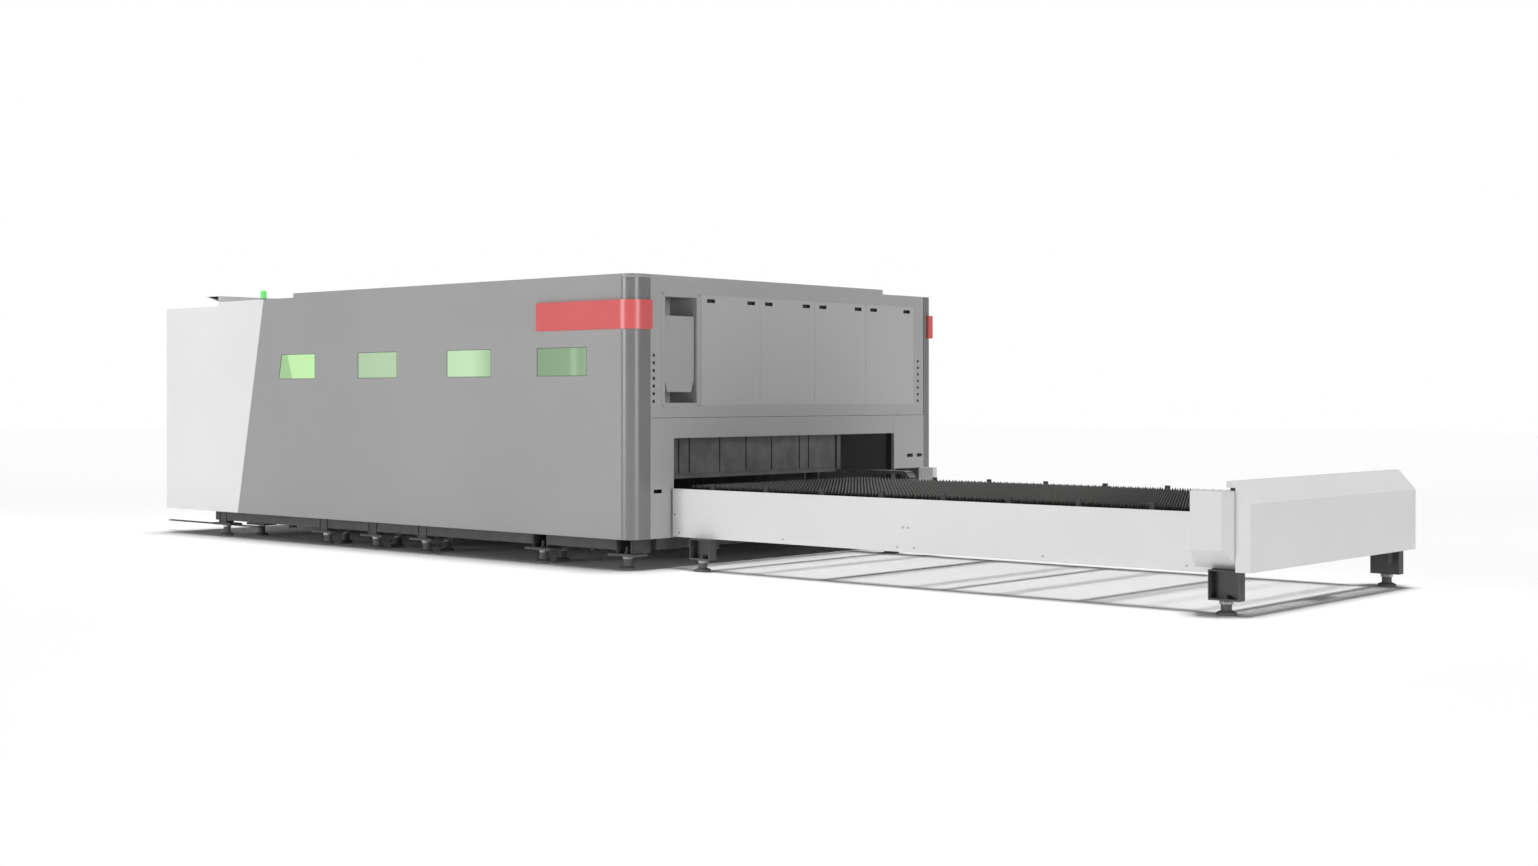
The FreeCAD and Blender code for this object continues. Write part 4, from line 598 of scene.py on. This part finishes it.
def lean_corner(rim, left, top):
    """Moves the upper left corner in, so that the end pane follows the slanted joint."""
    bpy.ops.object.mode_set(mode="EDIT")
    bpy.ops.mesh.select_mode(type="VERT")
    bpy.ops.mesh.select_all(action="DESELECT")
    shape = bmesh.from_edit_mesh(rim.data)
    for vertex in shape.verts:
        vertex.select = abs(vertex.co.x - left) < 0.01 and abs(vertex.co.z - top) < 0.01
    bmesh.update_edit_mesh(rim.data)
    lean = 0.048
    bpy.ops.transform.translate(value=(lean, 0.0, 0.0))
    bpy.ops.object.mode_set(mode="OBJECT")


class LASERCUTTER_OT_cladding_screws(bpy.types.Operator):
    """Make the button-head screws of the niche rim and of the cladding"""
    bl_idname = "lasercutter.cladding_screws"
    bl_label = "Make cladding screws"

    def execute(self, context):
        radius = context.scene.laser_fittings.screw
        deselect()
        bpy.ops.mesh.primitive_cylinder_add(vertices=18, radius=radius, depth=0.003)
        master = fresh("screw_master")
        pick_faces(master, lambda centre, normal: normal.z > 0.9)
        bpy.ops.mesh.inset(thickness=radius * 0.30, depth=0.0)
        bpy.ops.transform.translate(value=(0.0, 0.0, 0.0011))
        bpy.ops.mesh.inset(thickness=radius * 0.22, depth=0.0)
        bpy.ops.mesh.extrude_region_move(TRANSFORM_OT_translate={"value": (0.0, 0.0, -0.0022)})
        bpy.ops.object.mode_set(mode="OBJECT")
        bevel_piece(master, 0.0004, 1)
        spots = []
        turns = []
        for low, high in islands("screws"):
            middle = (low + high) / 2
            towards_table = high.x - low.x < high.y - low.y
            spots.append(middle)
            turns.append((0.0, math.radians(90.0), 0.0) if towards_table
                         else (math.radians(90.0), 0.0, 0.0))
        screws = settle(copies(master, "cladding_screws", spots, turns), "gear steel")
        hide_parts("screws")
        return {"FINISHED"}


class LASERCUTTER_OT_slot_latches(bpy.types.Operator):
    """Put a spring latch behind each finger slot of the four access panels"""
    bl_idname = "lasercutter.slot_latches"
    bl_label = "Fit slot latches"

    def execute(self, context):
        deselect()
        bpy.ops.mesh.primitive_cube_add(size=1.0)
        master = fresh("latch_master")
        master.scale = (0.008, 0.104, 0.040)
        bpy.ops.object.transform_apply(location=False, rotation=False, scale=True)
        pick_faces(master, lambda centre, normal: normal.x > 0.9)
        bpy.ops.mesh.inset(thickness=0.009, depth=0.0)
        bpy.ops.mesh.extrude_region_move(TRANSFORM_OT_translate={"value": (-0.005, 0.0, 0.0)})
        bpy.ops.mesh.inset(thickness=0.004, depth=0.0)
        bpy.ops.transform.resize(value=(1.0, 0.34, 1.0))
        bpy.ops.mesh.extrude_region_move(TRANSFORM_OT_translate={"value": (0.0045, 0.0, 0.0)})
        bpy.ops.object.mode_set(mode="OBJECT")
        bevel_piece(master, 0.0008)
        from_edge, behind, below_top = 0.1085, 0.0220, 0.0455
        spots = []
        for index in range(4):
            low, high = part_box("access_panel_%d" % (index + 1))
            for y in (low.y + from_edge, high.y - from_edge):
                spots.append((low.x - behind, y, high.z - below_top))
        settle(copies(master, "slot_latches", spots), "black rubber")
        return {"FINISHED"}


class LASERCUTTER_OT_foot_nuts(bpy.types.Operator):
    """Set a hexagon lock nut on the stem of every levelling foot"""
    bl_idname = "lasercutter.foot_nuts"
    bl_label = "Set foot nuts"

    def execute(self, context):
        radius = context.scene.laser_fittings.nut
        deselect()
        bpy.ops.mesh.primitive_cylinder_add(vertices=6, radius=radius, depth=0.022)
        master = fresh("nut_master")
        pick_faces(master, lambda centre, normal: abs(normal.z) > 0.9)
        bpy.ops.mesh.inset(thickness=radius * 0.09, depth=0.0, use_individual=True)
        bpy.ops.object.mode_set(mode="OBJECT")
        bevel_piece(master, 0.0018)
        below_top = 0.0118
        spots = []
        for low, high in islands("levelling_feet"):
            middle = (low + high) / 2
            spots.append((middle.x, middle.y, high.z - below_top))
        settle(copies(master, "foot_nuts", spots), "gear steel")
        return {"FINISHED"}


class LASERCUTTER_OT_leg_welds(bpy.types.Operator):
    """Lay a rippled fillet weld where the arm under each web meets its table leg"""
    bl_idname = "lasercutter.leg_welds"
    bl_label = "Lay leg welds"

    def execute(self, context):
        pitch = context.scene.laser_fittings.weld_pitch
        low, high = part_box("table_frame")
        feet = [pair for pair in islands("levelling_feet") if pair[0].x > END]
        deselect()
        bpy.ops.mesh.primitive_uv_sphere_add(segments=8, ring_count=5, radius=0.006)
        master = fresh("weld_master")
        master.scale = (0.72, 1.0, 1.0)
        bpy.ops.object.transform_apply(location=False, rotation=False, scale=True)
        run = 0.114                            # a little less than the arm's width
        steps = int(run / pitch)
        repeat = master.modifiers.new("Ripples", "ARRAY")
        repeat.count = steps
        repeat.use_relative_offset = False
        repeat.use_constant_offset = True
        repeat.constant_offset_displace = (pitch, 0.0, 0.0)
        bpy.ops.object.modifier_apply(modifier=repeat.name)
        to_face, under_arm = 0.0415, 0.1685    # leg's inner face and arm's lower face
        spots = []
        for foot_low, foot_high in feet:
            middle = (foot_low + foot_high) / 2
            side = -1.0 if middle.y < (low.y + high.y) / 2 else 1.0
            start = middle.x - (steps - 1) * pitch / 2
            spots.append((start, middle.y - side * to_face, under_arm))
        settle(copies(master, "leg_welds", spots), "frame paint", 60.0)
        return {"FINISHED"}


class LASERCUTTER_OT_light_bars(bpy.types.Operator):
    """Hang the light bars that light the cutting room and the panes"""
    bl_idname = "lasercutter.light_bars"
    bl_label = "Hang light bars"

    def execute(self, context):
        count = context.scene.laser_fittings.bars
        low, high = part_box("gantry_rails")
        deselect()
        bpy.ops.mesh.primitive_cylinder_add(vertices=20, radius=0.022, depth=1.0,
                                            rotation=(0.0, math.radians(90.0), 0.0))
        master = fresh("bar_master")
        bpy.ops.object.transform_apply(location=False, rotation=True, scale=False)
        pick_faces(master, lambda centre, normal: abs(normal.x) > 0.9)
        bpy.ops.mesh.inset(thickness=0.004, depth=0.0, use_individual=True)
        bpy.ops.mesh.extrude_faces_move(TRANSFORM_OT_shrink_fatten={"value": 0.012})
        bpy.ops.object.mode_set(mode="OBJECT")
        bevel_piece(master, 0.0015, 1)
        first, spare, inward, hang = 0.7, 2.0, 0.15, 2.120
        room = high.x - low.x - spare
        spots = []
        for step in range(count):
            x = low.x + first + room * step / max(1, count - 1)
            for y in (low.y + inward, high.y - inward):
                spots.append((x, y, hang))
        settle(copies(master, "light_bars", spots), "opal diffuser")
        return {"FINISHED"}


class LASERCUTTER_OT_cable_carrier(bpy.types.Operator):
    """Lay the linked cable carrier that runs beside the far beam, with its round bend"""
    bl_idname = "lasercutter.cable_carrier"
    bl_label = "Lay cable carrier"

    def execute(self, context):
        pitch = context.scene.laser_fittings.link
        low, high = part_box("far_inner_cover")
        bend = 0.075
        top = low.z + 0.385
        left, right = low.x - 1.150, low.x - 0.350
        middle = high.y + 0.210
        deselect()
        bpy.ops.mesh.primitive_cube_add(size=1.0)
        master = fresh("link_master")
        master.scale = (pitch * 0.96, 0.100, 0.030)
        bpy.ops.object.transform_apply(location=False, rotation=False, scale=True)
        pick_faces(master, lambda centre, normal: abs(normal.z) > 0.9)
        bpy.ops.mesh.inset(thickness=0.008, depth=-0.004, use_individual=True)
        pick_faces(master, lambda centre, normal: abs(normal.y) > 0.9)
        bpy.ops.mesh.inset(thickness=0.006, depth=-0.003, use_individual=True)
        bpy.ops.object.mode_set(mode="OBJECT")
        bevel_piece(master, 0.0015, 1)
        spots = []
        turns = []
        run = int((right - left) / pitch)
        for step in range(run):
            spots.append((right - (step + 0.5) * pitch, middle, top))
            turns.append((0.0, 0.0, 0.0))
        around = max(3, round(math.pi * bend / pitch))
        for step in range(around):
            angle = (step + 0.5) * math.pi / around
            spots.append((right + bend * math.sin(angle), middle,
                          top - bend + bend * math.cos(angle)))
            turns.append((0.0, angle, 0.0))
        for step in range(run // 2):
            spots.append((right - (step + 0.5) * pitch, middle, top - 2 * bend))
            turns.append((0.0, 0.0, 0.0))
        settle(copies(master, "cable_carrier", spots, turns), "carrier plastic")
        return {"FINISHED"}


def studio_sky(strength):
    """White backdrop whose light on the machine has its own strength."""
    world = bpy.data.worlds.new("studio sky")
    world.use_nodes = True
    tree = world.node_tree
    light = tree.nodes["Background"]
    light.inputs["Color"].default_value = (1.0, 1.0, 1.0, 1.0)
    light.inputs["Strength"].default_value = strength
    backdrop = tree.nodes.new("ShaderNodeBackground")
    backdrop.inputs["Color"].default_value = (1.0, 1.0, 1.0, 1.0)
    ray = tree.nodes.new("ShaderNodeLightPath")
    either = tree.nodes.new("ShaderNodeMixShader")
    tree.links.new(ray.outputs["Is Camera Ray"], either.inputs["Fac"])
    tree.links.new(light.outputs["Background"], either.inputs[1])
    tree.links.new(backdrop.outputs["Background"], either.inputs[2])
    tree.links.new(either.outputs["Shader"], tree.nodes["World Output"].inputs["Surface"])
    return world


class LASERCUTTER_OT_stage(bpy.types.Operator):
    """Set the studio floor, the soft light and the camera"""
    bl_idname = "lasercutter.stage"
    bl_label = "Set the stage"

    def execute(self, context):
        stage = context.scene.laser_stage
        deselect()
        bpy.ops.mesh.primitive_plane_add(size=120.0, location=(0.0, 0.0, -0.0005))
        floor = fresh("studio_floor")
        floor.data.materials.append(studio_floor("studio floor", tuple(stage.floor)))
        context.scene.world = studio_sky(stage.sky)
        for name, strength, soft, height, turn in (
                ("top_light", stage.top, 18.0, 86.8, 90.0),
                ("side_light", stage.side, 20.0, 3.0, -108.0),
                ("end_light", stage.end, 20.0, 4.0, -8.0)):
            bpy.ops.object.light_add(type="SUN", location=(0.0, 0.0, 6.0))
            sun = bpy.context.object
            sun.name = name
            sun.data.energy = strength
            sun.data.angle = math.radians(soft)
            sun.rotation_euler = (0.0, math.radians(90.0 - height), math.radians(turn))
        bpy.ops.object.camera_add(location=tuple(stage.eye),
                                  rotation=(math.radians(90.0), 0.0, stage.turn))
        camera = bpy.context.object
        camera.name = "studio_camera"
        camera.data.sensor_width = 36.0
        camera.data.lens = stage.lens
        camera.data.shift_y = -0.0237
        camera.data.clip_end = 300.0
        context.scene.camera = camera
        context.scene.view_settings.view_transform = "Standard"
        deselect()
        return {"FINISHED"}


class LASERCUTTER_PT_pieces(bpy.types.Panel):
    """Sidebar list of the machine's pieces and settings"""
    bl_idname = "LASERCUTTER_PT_pieces"
    bl_label = "Laser cutting machine"
    bl_space_type = "VIEW_3D"
    bl_region_type = "UI"
    bl_category = "Laser cutter"

    def draw(self, context):
        for title, group in (("Finishes", context.scene.laser_paint),
                             ("Fittings", context.scene.laser_fittings),
                             ("Stage", context.scene.laser_stage)):
            box = self.layout.box()
            box.label(text=title)
            for name in group.__annotations__:
                box.prop(group, name)
        for operator in OPERATORS:
            self.layout.operator(operator.bl_idname)


GROUPS = (("laser_paint", PaintSettings), ("laser_fittings", FittingSettings),
          ("laser_stage", StageSettings))
OPERATORS = (LASERCUTTER_OT_finish_nodes, LASERCUTTER_OT_pane_seals,
             LASERCUTTER_OT_cladding_screws, LASERCUTTER_OT_slot_latches,
             LASERCUTTER_OT_foot_nuts, LASERCUTTER_OT_leg_welds,
             LASERCUTTER_OT_light_bars, LASERCUTTER_OT_cable_carrier, LASERCUTTER_OT_stage)


def register():
    for name, group in GROUPS:
        bpy.utils.register_class(group)
        setattr(bpy.types.Scene, name, PointerProperty(type=group))
    for operator in OPERATORS:
        bpy.utils.register_class(operator)
    bpy.utils.register_class(LASERCUTTER_PT_pieces)


def unregister():
    bpy.utils.unregister_class(LASERCUTTER_PT_pieces)
    for operator in reversed(OPERATORS):
        bpy.utils.unregister_class(operator)
    for name, group in reversed(GROUPS):
        delattr(bpy.types.Scene, name)
        bpy.utils.unregister_class(group)


def main():
    register()
    bpy.ops.lasercutter.finish_nodes()
    bpy.ops.lasercutter.pane_seals()
    bpy.ops.lasercutter.cladding_screws()
    bpy.ops.lasercutter.slot_latches()
    bpy.ops.lasercutter.foot_nuts()
    bpy.ops.lasercutter.leg_welds()
    bpy.ops.lasercutter.light_bars()
    bpy.ops.lasercutter.cable_carrier()
    bpy.ops.lasercutter.stage()


if __name__ == "__main__":
    main()
